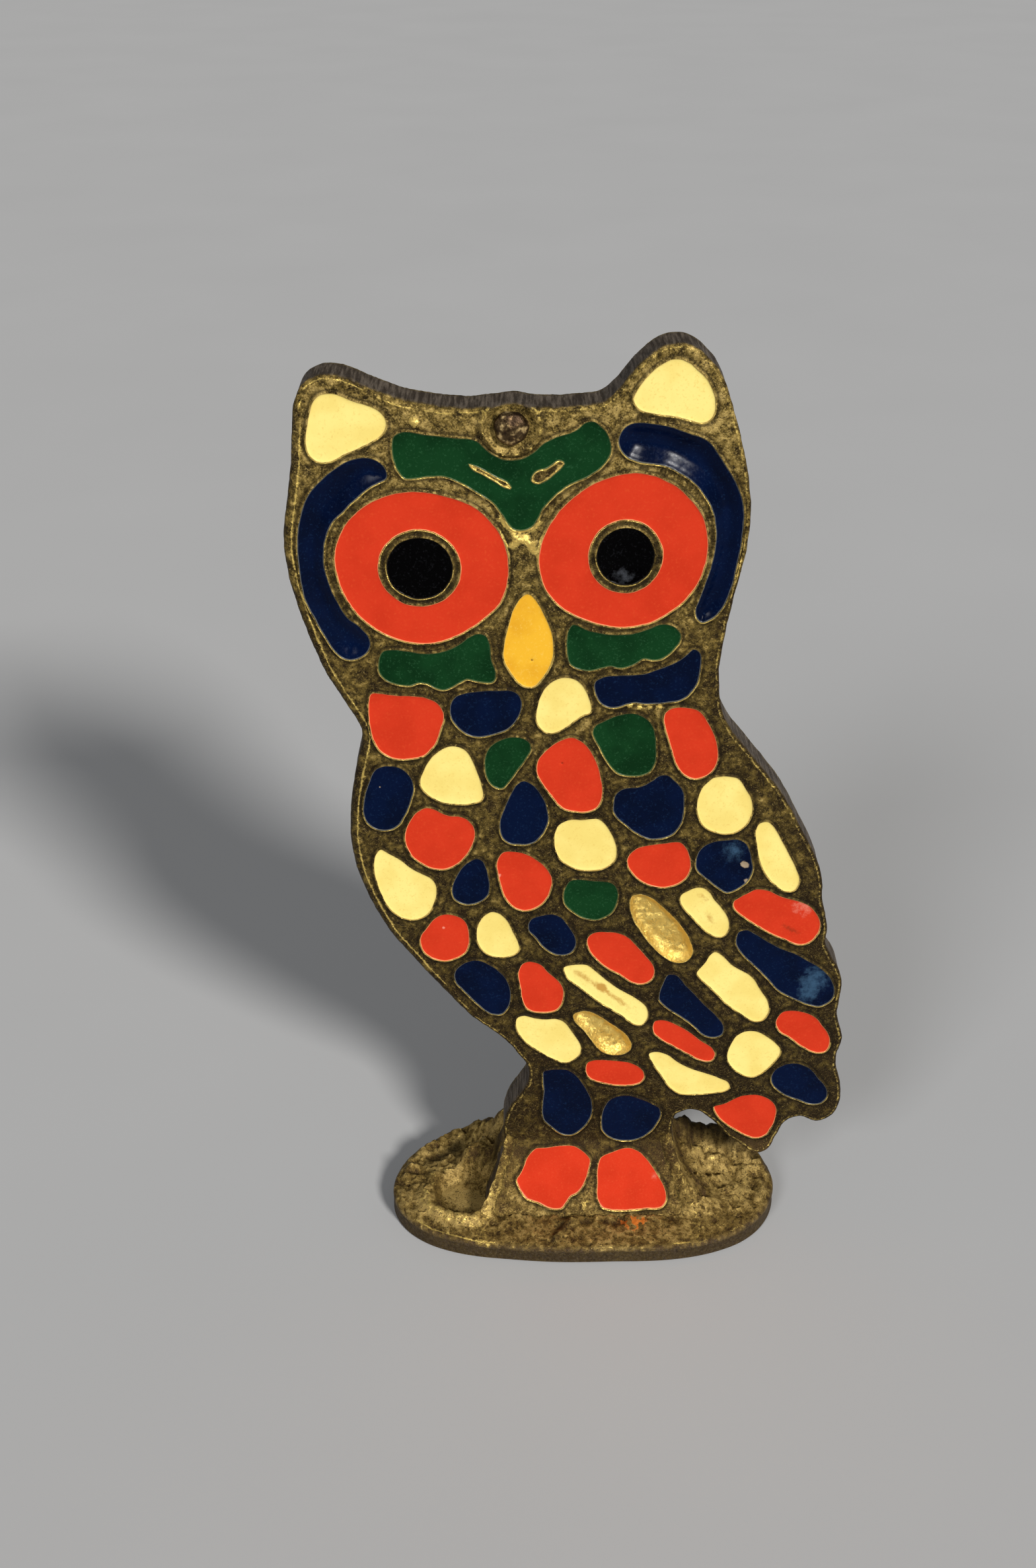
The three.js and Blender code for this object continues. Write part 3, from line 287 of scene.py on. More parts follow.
# ---- meshes ----
def skin(loops, inner, lines=()):
    """Triangles over the loops, outer first and holes after it, and the points inside.

    Lines are runs of indices, closed on themselves, that triangles may not cross.
    """
    points = np.vstack([*loops, inner]) if len(inner) else np.vstack(loops)
    edges = []
    start = 0
    for loop in loops:
        ring = np.arange(start, start + len(loop))
        edges += list(zip(ring.tolist(), np.roll(ring, -1).tolist()))
        start += len(loop)
    for line in lines:
        edges += list(zip(line.tolist(), np.roll(line, -1).tolist()))
    outer = list(range(len(loops[0])))
    flat = [Vector(p) for p in points.tolist()]
    made = delaunay_2d_cdt(flat, edges, [outer], 1, 1e-6)
    source = [origin[0] for origin in made[3]]
    triangles = np.array([[source[i] for i in face] for face in made[2]])
    middles = points[triangles].mean(1)
    for hole in loops[1:]:
        keep = ~inside(middles, hole)
        triangles, middles = triangles[keep], middles[keep]
    return points, triangles


def slab(name, loops, top, low, rows, lines=()):
    """A closed solid between a top and a low sheet that share the same rim loops.

    top and low are (inner points, heights of the rim and inner points together);
    rows are the levels of the wall between them, as (points, heights) of the rim.
    """
    top_points, top_faces = skin(loops, top[0], lines)
    low_points, low_faces = skin(loops, low[0])
    levels = [np.column_stack([points, heights]) for points, heights in rows]
    parts = [np.column_stack([top_points, top[1]]), *levels]
    starts = np.cumsum([0] + [len(part) for part in parts])
    parts.append(np.column_stack([low_points, low[1]]))
    faces = top_faces.tolist() + (low_faces[:, ::-1] + starts[-1]).tolist()
    for upper, lower in zip(starts[:-1], starts[1:]):
        first = 0
        for loop in loops:
            here = np.arange(first, first + len(loop))
            ahead = np.roll(here, -1)
            quads = np.stack([here + upper, here + lower, ahead + lower, ahead + upper], 1)
            faces += quads.tolist()
            first += len(loop)
    return name, np.vstack(parts), faces


def placed(name, data):
    made = bpy.data.objects.new(name, data)
    bpy.context.scene.collection.objects.link(made)
    return made


def face_place(uvw):
    return np.column_stack([uvw[:, 0], -uvw[:, 2], uvw[:, 1]])


def ground_place(uvw):
    return uvw


def mesh_object(made, place, sharp_angle=SHARP_ANGLE):
    name, uvw, faces = made
    mesh = bpy.data.meshes.new(name)
    mesh.from_pydata((place(uvw) * MM).tolist(), [], faces)
    mesh.update()
    mesh.shade_smooth()
    mesh.set_sharp_from_angle(angle=math.radians(sharp_angle))
    return placed(name, mesh)


def store(piece, name, values, others=0.0):
    """Gives the first vertices one number each and all the others the same one."""
    full = np.full(len(piece.data.vertices), others, np.float32)
    full[: len(values)] = values
    attribute = piece.data.attributes.new(name, "FLOAT", "POINT")
    attribute.data.foreach_set("value", full)


# ---- relief helpers ----
def grain(points, size, octaves=3, seed=0.0):
    """Fractal noise, mostly from -1 to 1; size is its largest feature in millimetres.

    The points have two or three numbers each. Every use has a seed of its own, so that no
    two patterns match.
    """
    spread = np.column_stack([points, np.zeros(len(points))])[:, :3] / size
    shift = Vector((seed, 3.7 * seed, 1.3 * seed))
    return np.array([noise.fractal(Vector(p) + shift, 1.0, 2.0, octaves) for p in spread])


def bell(values, middle, width):
    """1 where the values are at the middle, falling to 0 a few widths away."""
    return np.exp(-(((values - middle) / width) ** 2))


def bump(points, centre, radius, height):
    return height * bell(np.linalg.norm(points - np.asarray(centre), axis=1), 0, radius)


def ridge(points, start, end, width, height):
    """A soft ridge along the straight line between two points."""
    start, end = np.asarray(start, float), np.asarray(end, float)
    along = end - start
    share = np.clip((points - start) @ along / (along @ along), 0, 1)
    far = np.linalg.norm(points - start - share[:, None] * along, axis=1)
    return height * bell(far, 0, width)


def smooth_step(low, high, values):
    t = np.clip((values - low) / (high - low), 0, 1)
    return t * t * (3 - 2 * t)


def edge_round(inset, radius):
    """How far a rounded edge has dropped at a distance in from it."""
    share = np.clip(1 - inset / radius, 0, 1)
    return radius * (1 - np.sqrt(1 - share**2))


def lean(z):
    """How far the face has come forward at a height over the ground."""
    return np.clip(SLOPE_TOP - z, 0, None) * SLOPE_RUN / SLOPE_RISE


def name_cells(cells):
    """Gives each cell the name of the enamel node whose box it matches; empty cells get None."""
    spans = np.array([np.hstack([cell["edge"].min(0), cell["edge"].max(0)]) for cell in cells])
    for cell in cells:
        cell["name"] = None
    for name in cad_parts:
        if name in ("brass_casting", "head_rivet"):
            continue
        low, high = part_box(name)
        sides = np.array([low.x, low.z, high.x, high.z]) / MM
        cells[np.abs(spans - sides).sum(1).argmin()]["name"] = name


# ---- the brass plate ----
cells = cell_loops()
name_cells(cells)
islands = [island for cell in cells for island in cell["islands"]]
cell_field = EdgeField([*(cell["edge"] for cell in cells), *islands])
body = body_outline()
body_field = EdgeField([body])

NIB = (-16.3, 93.3)
NOSE_BRIDGE = (-6.9, 82.1)
NOSE_SPIKES = (
    # gold left bright where the brows meet, as ridges from one point to another
    ((-8.9, 84.4), (-7.5, 82.6), 0.2, 0.12),
    ((-5.5, 83.9), (-6.5, 82.6), 0.2, 0.12),
    ((-7.6, 82.6), (-6.0, 81.9), 0.34, 0.2),
    ((-6.6, 82.3), (-5.7, 81.0), 0.24, 0.16),
    ((-7.3, 82.2), (-7.9, 81.6), 0.26, 0.14),
)
FOOT_LUMP = ((-0.3, 3.0), (0.5, 4.4), 0.45, 0.3)
BOSS_RADIUS = 2.62
COLLAR_CHIPS = ((3.4, 65.4), (4.3, 65.2), (5.3, 65.1), (6.2, 65.25))
TONE_HEIGHTS = (2.0, 7.0, 11.0, 20.0, 45.0, 70.0, 96.0)
# painted light and shade: the brass is painted paler up the head and darker at the legs
PAINTED_LIGHT_TONES = (0.03, 0.01, -0.15, -0.13, -0.06, -0.02, 0.09)  # paler is higher
# painted light: the poorly lit back is given a paler tone
BACK_PAINTED_LIGHT = 0.06
FILE_STROKES = np.array([[1.0, 0.06], [0.35, 0.02]])  # draws noise out into strokes
WALL_LEAN = 0.03  # how far a cell's wall leans in from top to bottom
RIM_CREST = 0.06  # how far from a cell its raised rim stands
RIM_HEIGHT = 0.055
GROOVE = 0.24  # how far from a cell the groove round it runs
GROOVE_DEPTH = 0.09
GRAIN_HEIGHT = 0.085


def face_grain(points):
    """The cast skin's unevenness, about -1 to 1: pits are negative, high spots positive."""
    return 0.55 * grain(points, 1.2, 4) + 0.6 * grain(points, 0.42, 3, 5.0)


def shoulder_width(points):
    """The worn shoulder is broad down the left side and narrow elsewhere."""
    left = smooth_step(-10, -16, points[:, 0]) * smooth_step(98, 92, points[:, 1])
    return 0.26 + 0.5 * left


def face_height(points, cell_gap, inset):
    """Height of the brass face; cell_gap and inset are distances to a cell and to the edge."""
    height = FACE_LEVEL + lean(points[:, 1])
    rim = RIM_HEIGHT * bell(cell_gap, RIM_CREST, 0.07)
    groove = GROOVE_DEPTH * bell(cell_gap, GROOVE, 0.12)
    rough = GRAIN_HEIGHT * face_grain(points) * smooth_step(0.02, 0.3, cell_gap)
    height += rim - groove + rough - 0.03 * smooth_step(0.1, 0.4, cell_gap)
    to_rivet = np.linalg.norm(points - RIVET_CENTRE, axis=1)
    height += 0.42 * smooth_step(BOSS_RADIUS + 0.3, BOSS_RADIUS, to_rivet)
    height -= 0.5 * smooth_step(BOSS_RADIUS - 0.15, 1.75, to_rivet)
    height += bump(points, NIB, 0.5, 0.5)
    height += sum(ridge(points, *spike) for spike in NOSE_SPIKES)
    height += ridge(points, *FOOT_LUMP) * (0.6 + 0.6 * grain(points * (1, 0.15), 0.35, 2, 27.0))
    height += sum(bump(points, chip, 0.25, 0.12) for chip in COLLAR_CHIPS)
    return height - 0.9 * edge_round(inset, shoulder_width(points))


def near_cells_kept(points, own_gap):
    """Drops points of a rim line that have come nearer to another cell than their own."""
    return points[np.abs(cell_field.gap(points)) > 0.9 * own_gap]


EMPTY_INSETS = (0.0, 0.08, 0.2, 0.36, 0.58, 0.85)
EMPTY_DEPTHS = (0.05, 0.14, 0.32, 0.54, 0.74, 0.86)


def empty_floor(points):
    """Height of the rough floor of an empty cell, which rises as a bowl to its edge."""
    inset = cell_field.inset(points)
    rough = 0.13 * grain(points, 0.7, 3, 15.0) + 0.16 * grain(points, 1.8, 3, 9.0)
    depth = np.interp(inset, EMPTY_INSETS, EMPTY_DEPTHS)
    return FACE_LEVEL - depth + rough * smooth_step(0.05, 0.5, inset)


def in_island(points, cell):
    found = np.zeros(len(points), bool)
    for island in cell["islands"]:
        found |= inside(points, island)
    return found


def on_face(points):
    return face_height(points, cell_field.gap(points), body_field.inset(points))


class Sheet:
    """Points of a surface with their heights, and the closed lines among them."""

    def __init__(self, first):
        self.groups = []
        self.lines = []
        self.count = first

    def add(self, points, heights, closed=False):
        self.groups.append(np.column_stack([points, heights]))
        if closed:
            self.lines.append(np.arange(self.count, self.count + len(points)))
        self.count += len(points)


def add_rims(sheet, cell):
    """The edges of a cell and its islands, walls under them, and the rims round them."""
    for loop in [cell["edge"], *cell["islands"]]:
        top = on_face(loop)
        sheet.add(loop, top, closed=True)
        if cell["name"]:
            sheet.add(moved_out(loop, -WALL_LEAN), top - CELL_DEPTH, closed=True)
        for step in RIM_STEPS:
            rim = near_cells_kept(moved_out(loop, step), step)
            sheet.add(rim, on_face(rim))


def add_empty_floor(sheet, cell):
    for step in EMPTY_INSETS[1:]:
        wall = near_cells_kept(moved_out(cell["edge"], -step), step)
        sheet.add(wall, empty_floor(wall))
    floor = honeycomb(cell["edge"], EDGE_SPACING, 0.2)
    floor = well_inside(floor, cell["edge"], cell_field, 1.0)
    sheet.add(floor, empty_floor(floor))


def add_shoulder(sheet):
    for step in SHOULDER_STEPS:
        line = moved_out(body, -step)
        gap = cell_field.gap(line)
        inset = body_field.inset(line)
        line = line[(gap > 0.33) & (inset > 0.85 * step)]
        sheet.add(line, on_face(line))


def add_web(sheet):
    """The brass between the cells, clear of every edge."""
    web = honeycomb(body, WEB_SPACING, 0.25)
    web = well_inside(web, body, body_field, SHOULDER_STEPS[-1] + 0.15)
    web = web[cell_field.gap(web) > 0.4]
    for cell in cells:
        web = web[~inside(web, cell["edge"]) | in_island(web, cell)]
    sheet.add(web, on_face(web))


def plate_sheet():
    """Inner points of the face and their heights, with lines for the cells' walls."""
    sheet = Sheet(len(body))
    for cell in cells:
        add_rims(sheet, cell)
        if cell["name"] is None:
            add_empty_floor(sheet, cell)
    add_shoulder(sheet)
    add_web(sheet)
    gathered = np.vstack(sheet.groups)
    return gathered[:, :2], gathered[:, 2], sheet.lines


def plate_back():
    """Inner points of the back, then heights of its rim and of them, and its unevenness."""
    rings = [moved_out(body, -step) for step in BACK_STEPS]
    grid = honeycomb(body, BACK_SPACING, 0.2)
    inner = np.vstack([*rings, well_inside(grid, body, body_field, 0.8)])
    points = np.vstack([body, inner])
    inset = np.clip(body_field.inset(points), 0, None)
    pitted = 0.5 * grain(points, 2.6, 4, 21.0) + 0.5 * grain(points, 1.0, 3, 23.0)
    file_marks = grain(points @ FILE_STROKES, 0.9, 2, 25.0)
    uneven = pitted + 0.3 * file_marks
    height = -FACE_LEVEL + edge_round(inset, PLATE_CHAMFER)
    return inner, height + GRAIN_HEIGHT * uneven * smooth_step(0.1, 0.5, inset), uneven


def plate_sides(rim_height, back_height):
    """Rows round the plate between its face and back, scored across by casting and filing."""
    along = np.cumsum(np.full(len(body), EDGE_SPACING))
    rows = []
    for share in np.linspace(0, 1, PLATE_SIDE_ROWS + 2)[1:-1]:
        level = rim_height + (back_height - rim_height) * share
        marks = grain(np.column_stack([along, level * 0.2]), 0.6, 2, 31.0)
        waves = grain(np.column_stack([body, level]), 2.5, 2, 37.0)
        bulge = 0.05 * math.sin(math.pi * share)
        out = 0.05 * marks + 0.04 * waves - bulge
        rows.append((body + outward(body) * out[:, None], level))
    return rows


def plate():
    inner, heights, lines = plate_sheet()
    rim_height = on_face(body)
    back_inner, back_height, back_grain = plate_back()
    rows = plate_sides(rim_height, back_height[: len(body)])
    top = (inner, np.concatenate([rim_height, heights]))
    made = slab("owl_plate", [body], top, (back_inner, back_height), rows, lines)
    piece = mesh_object(made, face_place)
    paint_plate(piece, np.vstack([body, inner]), len(body) * len(rows), back_grain)
    return piece


def paint_plate(piece, face, wall, back_grain):
    """Stores what the brass material reads, over the face, then the sides, then the back."""
    gap, out = cell_field.measure(face)
    on_side = np.concatenate([np.zeros(len(face)), np.ones(wall), np.zeros(len(back_grain))])
    on_side[: len(body)] = 0.6
    on_side[len(face) + wall :][: len(body)] = 0.5
    store(piece, "side", on_side)
    # the back gets a paler tone as painted light
    store(piece, "tone", face_tone(face), BACK_PAINTED_LIGHT)
    store(piece, "relief", np.concatenate([face_grain(face), np.zeros(wall), back_grain]))
    store(piece, "groove", groove_dirt_and_shade(face, gap))
    store(piece, "wear", face_wear_and_highlights(face, gap, out))
    store(piece, "spill", foot_spill(face, gap))
    store(piece, "warm", smooth_step(13.0, 7.0, face[:, 1]))


def face_tone(face):
    """Painted light and shade make the brass palest up the head and darkest at the legs; it is darker
    at the outer lip too.
    """
    by_height = np.interp(face[:, 1], TONE_HEIGHTS, PAINTED_LIGHT_TONES)
    inset = body_field.inset(face)
    return by_height - 0.1 * np.exp(-inset / 0.8)


def groove_dirt_and_shade(face, gap):
    """Dirt and painted shade lie in the groove round each cell; painted shade lies round the boss
    under the rivet.
    """
    round_cells = bell(gap, GROOVE, 0.1) * (gap > 0)
    from_rivet = face - RIVET_CENTRE
    to_rivet = np.linalg.norm(from_rivet, axis=1)
    sideways = smooth_step(0.2, 0.8, np.abs(from_rivet[:, 0]) / np.maximum(to_rivet, 0.01))
    # painted shade in a ring round the boss, darkest at its sides
    boss_shade = bell(to_rivet, BOSS_RADIUS + 0.3, 0.17) * sideways
    return np.maximum(round_cells, 0.85 * boss_shade)


def face_wear_and_highlights(face, gap, out):
    """How brightly the brass is rubbed, with painted highlights on the rims below cells: the greatest
    from any cause.
    """
    # rims below the cells get a painted highlight, as if lit from above
    below = smooth_step(-0.5, 0.8, -out[:, 1])
    uneven = smooth_step(-0.7, 0.5, grain(face, 2.6, 2, 81.0))
    inset = body_field.inset(face)
    to_rivet = np.linalg.norm(face - RIVET_CENTRE, axis=1)
    causes = [
        bell(gap, 0.05, 0.075) * (0.3 + 0.7 * below) * (0.45 + 0.55 * uneven),
        0.62 * bell(inset, shoulder_width(face), 0.1),
        0.6 * bell(to_rivet, BOSS_RADIUS, 0.16),
    ]
    return np.maximum.reduce(causes + bare_gold_and_highlights(face, gap, out) + bright_spots(face, gap))


def bare_gold_and_highlights(face, gap, out):
    """Wear in the empty cells with a painted highlight on their lower walls, and wear on the brow
    ridges.
    """
    painted_highlight_wall = smooth_step(0.1, 0.9, out[:, 1]) * smooth_step(-1.5, -0.2, gap)
    crest = 0.2 + 0.8 * bell(gap, 0, 0.13) + 0.3 * grain(face, 0.5, 2, 83.0)
    empty = [cell["edge"] for cell in cells if cell["name"] is None]
    brows = [cell["islands"] for cell in cells if cell["name"] == "forehead_green"][0]
    floors = [inside(face, moved_out(edge, 0.05)) * (0.68 + 0.4 * painted_highlight_wall) for edge in empty]
    return floors + [inside(face, brow) * crest for brow in brows]


def bright_spots(face, gap):
    """Wear of the nib, nose bridge, lump between the feet, and chips at the collar."""
    ragged = 0.75 + 0.5 * grain(face, 0.7, 3, 29.0)
    near_nose = bump(face, NOSE_BRIDGE, 2.6, 1.4)
    spots = [
        bump(face, NIB, 0.45, 1.0),
        bell(gap, 0.1, 0.15) * near_nose * ragged,
        0.7 * ridge(face, *FOOT_LUMP[:3], 1.0) * ragged,
    ]
    spots += [ridge(face, *spike[:2], 1.6 * spike[2], 1.0) * ragged for spike in NOSE_SPIKES]
    return spots + [bump(face, chip, 0.3, 1.0) for chip in COLLAR_CHIPS]


def foot_spill(face, gap):
    """Traces of orange left around the lower ends of the feet."""
    low = smooth_step(3.6, 2.8, face[:, 1]) * np.exp(-np.clip(gap, 0, None) / 0.25)
    return np.where(gap > 0, 0.6 * low * smooth_step(-0.2, 0.4, grain(face, 0.6, 3, 85.0)), 0)


# ---- the rocky base ----
BASE_SHELF = 2.2
BASE_CROWN = 0.6
BASE_EDGE_RADIUS = 0.4
BASE_UNDERCUT = 0.2  # height of the rounded lower edge
MOUND_MIDDLE = 0.6
ROOT_LEVEL = 1.3  # where the base ends inside the legs
ROCK_RIDGES = (
    # (from, to, width, height), as (x, y) on the ground
    ((8.5, 3.0), (12.0, 3.8), 1.9, 5.4),
    ((12.0, 3.8), (16.0, 3.9), 1.8, 4.3),
    ((16.0, 3.9), (19.2, 3.2), 1.6, 3.0),
    ((19.2, 3.2), (21.2, 1.6), 1.2, 1.6),
    ((12.4, 1.2), (13.4, 1.9), 1.2, 2.5),
    ((14.8, 1.4), (16.6, 1.2), 1.0, 1.8),
    ((18.6, 0.6), (20.2, 0.8), 0.9, 0.9),
    ((13.4, -1.9), (15.8, -0.6), 0.7, 0.7),
    ((12.0, -3.4), (13.2, -3.0), 0.5, 0.6),
    ((16.2, -2.6), (17.4, -2.2), 0.6, 0.5),
    ((20.2, -3.4), (20.6, 0.6), 0.8, 0.4),
    ((10.6, -5.0), (14.6, -4.6), 0.6, 0.4),
    ((-19.2, 4.6), (-15.5, 6.6), 1.3, 0.9),
    ((-15.5, 6.6), (-12.2, 7.0), 1.4, 1.3),
    ((-12.0, 6.8), (-11.0, 6.4), 1.8, 2.2),
    ((-10.6, 6.2), (-9.6, 5.6), 1.8, 3.3),
    ((-9.0, 5.0), (-7.6, 4.0), 1.9, 5.4),
    ((-12.6, 1.8), (-11.0, 3.2), 1.25, 2.6),
    ((-9.9, 3.8), (-9.2, 3.6), 1.0, 3.4),
    ((-20.0, 0.9), (-19.5, 1.4), 0.65, 0.8),
    ((-0.8, -6.2), (-3.2, -9.2), 0.4, 0.4),
)
RECESS_PAINTED_SHADE = (
    # (from, to, width, strength): painted shade in the dark smooth recesses of the base
    ((-17.4, 2.4), (-14.4, 4.5), 0.85, 0.95),
    ((-10.0, -0.1), (-8.6, 3.0), 0.6, 0.8),
    ((9.5, 3.6), (16.0, 4.2), 1.5, 0.95),
    ((16.0, 4.0), (20.6, 2.6), 1.1, 0.9),
    ((-19.8, 0.4), (-18.9, 0.5), 0.18, 1.0),
    ((-1.9, -6.4), (-3.4, -9.4), 0.32, 0.75),
)
TINTS = (
    # (from, to, width, change): lighter and darker patches of the base; the last but one is painted
    # light
    ((-12.0, 3.2), (-9.6, 4.0), 0.75, 0.13),
    ((-13.2, 1.6), (-11.8, 0.9), 0.9, -0.04),
    ((-16.9, -0.6), (-16.2, -4.0), 0.5, -0.13),
    ((-16.2, -4.0), (-13.6, -5.9), 0.5, -0.1),
    ((-18.2, -4.6), (-14.7, -7.1), 0.8, 0.09),
    ((-14.7, -7.1), (-10.8, -7.0), 0.7, 0.09),
    ((-10.5, -1.6), (-10.6, -6.0), 0.7, 0.08),
    ((10.0, 0.6), (11.0, -3.2), 0.6, 0.1),
    ((11.2, -0.2), (13.9, -3.8), 0.55, -0.18),
    ((17.0, -2.0), (20.0, -3.0), 1.3, 0.07),
    ((19.0, 0.8), (20.2, 0.8), 0.6, 0.08),
    # painted light: a pale pool over the hollow's floor, which lies in shade
    ((-14.2, -1.8), (-12.4, -3.2), 1.7, 0.2),
    ((-8.0, -7.2), (19.0, -6.8), 0.6, -0.07),
)
HOLLOW_MIDDLE = np.array([-13.3, -2.6])
HOLLOW_REACH = np.array([3.6, 3.4])
HOLLOW_DEPTH = 1.0
HOLLOW_TO_BACK = np.array([0.7, 0.72])  # the side of the hollow that has no rim
RIGHT_FLANK = ((9.8, -1.0), (12.6, -4.2), 1.8, 1.0)
FLANK_STREAKS = np.array([[0.5, 0.12], [0.86, -0.2]])  # turns and stretches the rock there
base_edge = base_outline()
base_field = EdgeField([base_edge])


def ramp_level(y):
    """Height of the leaning face over the ground, level with its top behind it."""
    return np.minimum(SLOPE_TOP, SLOPE_TOP + (y + FACE_LEVEL) * SLOPE_RISE / SLOPE_RUN)


def past_foot(points):
    """Distance beyond the sides of the legs and feet, negative between them."""
    level = ramp_level(points[:, 1])
    half_width = np.interp(level, [1.5, 4.0, 6.5, 8.2, 10.2], [12.0, 11.4, 10.4, 9.7, 9.2])
    return np.abs(points[:, 0] - MOUND_MIDDLE) - half_width


def with_mound(points, ground, rough, hollow):
    """The ground with the metal the feet lie on, whose flanks sweep down beside it."""
    beyond = past_foot(points)
    beside = np.clip(beyond, 0, None)
    behind = np.clip(points[:, 1] - 1.3, 0, None)
    over = 0.9 * smooth_step(-1.3, 0.0, beyond) + 0.35 * grain(points, 1.6, 3, 91.0)
    left_reach = np.interp(points[:, 1], [-2.0, 1.5], [0.55, 1.9])
    reach = np.where(points[:, 0] < MOUND_MIDDLE, left_reach, 1.6) * (1 - 0.3 * hollow)
    fade = np.exp(-beside / reach - behind / 1.5)
    top = ramp_level(points[:, 1]) + over
    return blend_up(ground, ground + (top - ground) * fade + rough, 0.7)


def under_plate(points):
    """1 where the base is hidden inside the legs and feet, 0 where it shows."""
    y = points[:, 1]
    uneven = 0.3 * grain(points, 1.5, 3, 93.0)
    across = smooth_step(0.95, 1.6, uneven - past_foot(points))
    along = smooth_step(-6.1, -5.5, y + 0.5 * uneven) * smooth_step(1.5, 0.8, y)
    return across * along


def sharp_ridges(points, size, seed):
    """Folded noise, 0 to about 1, with narrow crests like broken rock."""
    return 1 - 2 * np.abs(grain(points, size, 3, seed))


def hollow_share(points):
    """Distance from the hollow's middle, 1 at its edge."""
    return np.linalg.norm((points - HOLLOW_MIDDLE) / HOLLOW_REACH, axis=1)


def rock_height(points):
    """Height of the base's top, and its fine unevenness for the patina."""
    inset = np.clip(base_field.inset(points), 0, None)
    out = np.clip(1 - inset / 9.5, 0, 1)
    shelf = BASE_SHELF + BASE_CROWN * (1 - out**2)
    relief = np.maximum.reduce([ridge(points, *feature) for feature in ROCK_RIDGES])
    round_hollow = hollow_share(points) + 0.07 * grain(points, 2.2, 3, 97.0)
    hollow = smooth_step(1.05, 0.78, round_hollow)
    left_or_front = smooth_step(-0.2, 0.6, -(points - HOLLOW_MIDDLE) @ HOLLOW_TO_BACK)
    rim = bell(round_hollow, 1.22, 0.16) * left_or_front
    front = smooth_step(-6.6, -7.8, points[:, 1])
    calm = 1 - np.maximum(0.9 * hollow, 0.65 * front)
    crests = sharp_ridges(points, 1.7, 41.0)
    chips = 0.5 * sharp_ridges(points, 0.75, 47.0) + 0.5 * grain(points, 0.42, 3, 53.0)
    streaks = ridge(points, *RIGHT_FLANK) * sharp_ridges(points @ FLANK_STREAKS, 1.0, 57.0)
    lumps = (0.3 * crests + 0.5 * streaks) * calm
    away = smooth_step(0.05, 1.2, inset)
    ground = shelf - HOLLOW_DEPTH * hollow
    ground += ((relief + 0.6 * rim) * (1 - hollow) + lumps) * away
    ground += 0.17 * chips * (0.3 + 0.7 * calm) * smooth_step(0.0, 0.3, inset)
    rough = 0.4 * lumps + 0.12 * chips
    height = with_mound(points, ground, rough, hollow) - edge_round(inset, BASE_EDGE_RADIUS)
    height += (ROOT_LEVEL - height) * under_plate(points)
    return height, (1 - 0.5 * hollow) * (chips + 0.5 * (crests - 0.5)) + 0.35 * rim


def blend_up(a, b, width):
    """The higher of two surfaces, with a fillet where they meet."""
    share = np.clip(0.5 + (b - a) / (2 * width), 0, 1)
    return a + (b - a) * share + width * share * (1 - share)


def base_sides(top_height, low_height):
    """Dented rows round the base between its top and its lower edge."""
    rows = []
    for share in BASE_SIDE_ROWS:
        level = top_height * (1 - share) + low_height * share
        dents = grain(np.column_stack([base_edge, level]), 1.2, 3, 61.0)
        line = moved_out(base_edge, -0.05) + outward(base_edge) * (0.07 * dents)[:, None]
        rows.append((line, level))
    return rows


def base():
    rings = [moved_out(base_edge, -step) for step in ROCK_STEPS]
    grid = honeycomb(base_edge, ROCK_SPACING, 0.25)
    inner = np.vstack([*rings, well_inside(grid, base_edge, base_field, 0.75)])
    top = np.vstack([base_edge, inner])
    top_height, grit = rock_height(top)
    low_inner = moved_out(base_edge, -0.3)
    low_edge = np.full(len(base_edge), BASE_UNDERCUT)
    low_height = np.concatenate([low_edge, np.zeros(len(low_inner))])
    rows = base_sides(top_height[: len(base_edge)], low_edge)
    made = slab("owl_base", [base_edge], (inner, top_height), (low_inner, low_height), rows)
    piece = mesh_object(made, ground_place)
    paint_base(piece, top, top_height, grit)
    return piece


def paint_base(piece, top, height, grit):
    """Stores what the brass material reads, over the base's top, then everywhere else."""
    inset = base_field.inset(top)
    # painted shade in the base's recesses, stored as groove, which also keeps wear off them
    painted_shade = np.clip(sum(ridge(top, *mark) for mark in RECESS_PAINTED_SHADE), 0, 1)
    store(piece, "side", 0.3 * np.exp(-inset / 0.15), 0.35)
    store(piece, "tone", rock_tone(top, height, inset), -0.06)
    store(piece, "relief", 1.4 * grit)
    store(piece, "groove", painted_shade, 0.45)
    store(piece, "wear", rock_wear_and_light(top, inset, grit) * (1 - painted_shade))
    store(piece, "spill", orange_speckle(top))
    store(piece, "warm", np.ones(len(top)), 1.0)


def rock_tone(points, height, inset):
    """The rock darkens up the mound's sides and along its edge, with patches in between."""
    by_height = np.interp(height, [5.5, 9.0], [0.01, -0.12])
    return by_height - 0.07 * np.exp(-inset / 0.9) + sum(ridge(points, *tint) for tint in TINTS)


def rock_wear_and_light(points, inset, grit):
    """How brightly the rock is rubbed at its lip, hollow's rim, peaks and beside the feet; painted
    light on the hollow's floor.
    """
    front = smooth_step(-4.0, -8.0, points[:, 1])
    uneven = smooth_step(-0.6, 0.4, grain(points, 3.0, 2, 99.0))
    corners = smooth_step(6.0, 12.0, np.abs(points[:, 0]))
    share = hollow_share(points)
    causes = [
        bell(inset, 0.3, 0.1) * front * uneven * (0.25 + 0.5 * corners),
        0.42 * bell(share, 1.28, 0.2) * smooth_step(-1, -4, points[:, 1]),
        # painted light over the hollow's floor
        0.2 * smooth_step(1.0, 0.75, share),
        0.5 * smooth_step(0.3, 0.9, grit),
        0.35 * bell(past_foot(points), 0, 1.1) * smooth_step(0, -2, points[:, 1]),
    ]
    return np.maximum.reduce(causes)


def orange_speckle(points):
    """A trace of orange below the right foot."""
    scattered = smooth_step(-0.25, 0.1, grain(points, 0.5, 3, 95.0))
    return bump(points, (5.6, -6.7), 1.4, 1.1) * scattered


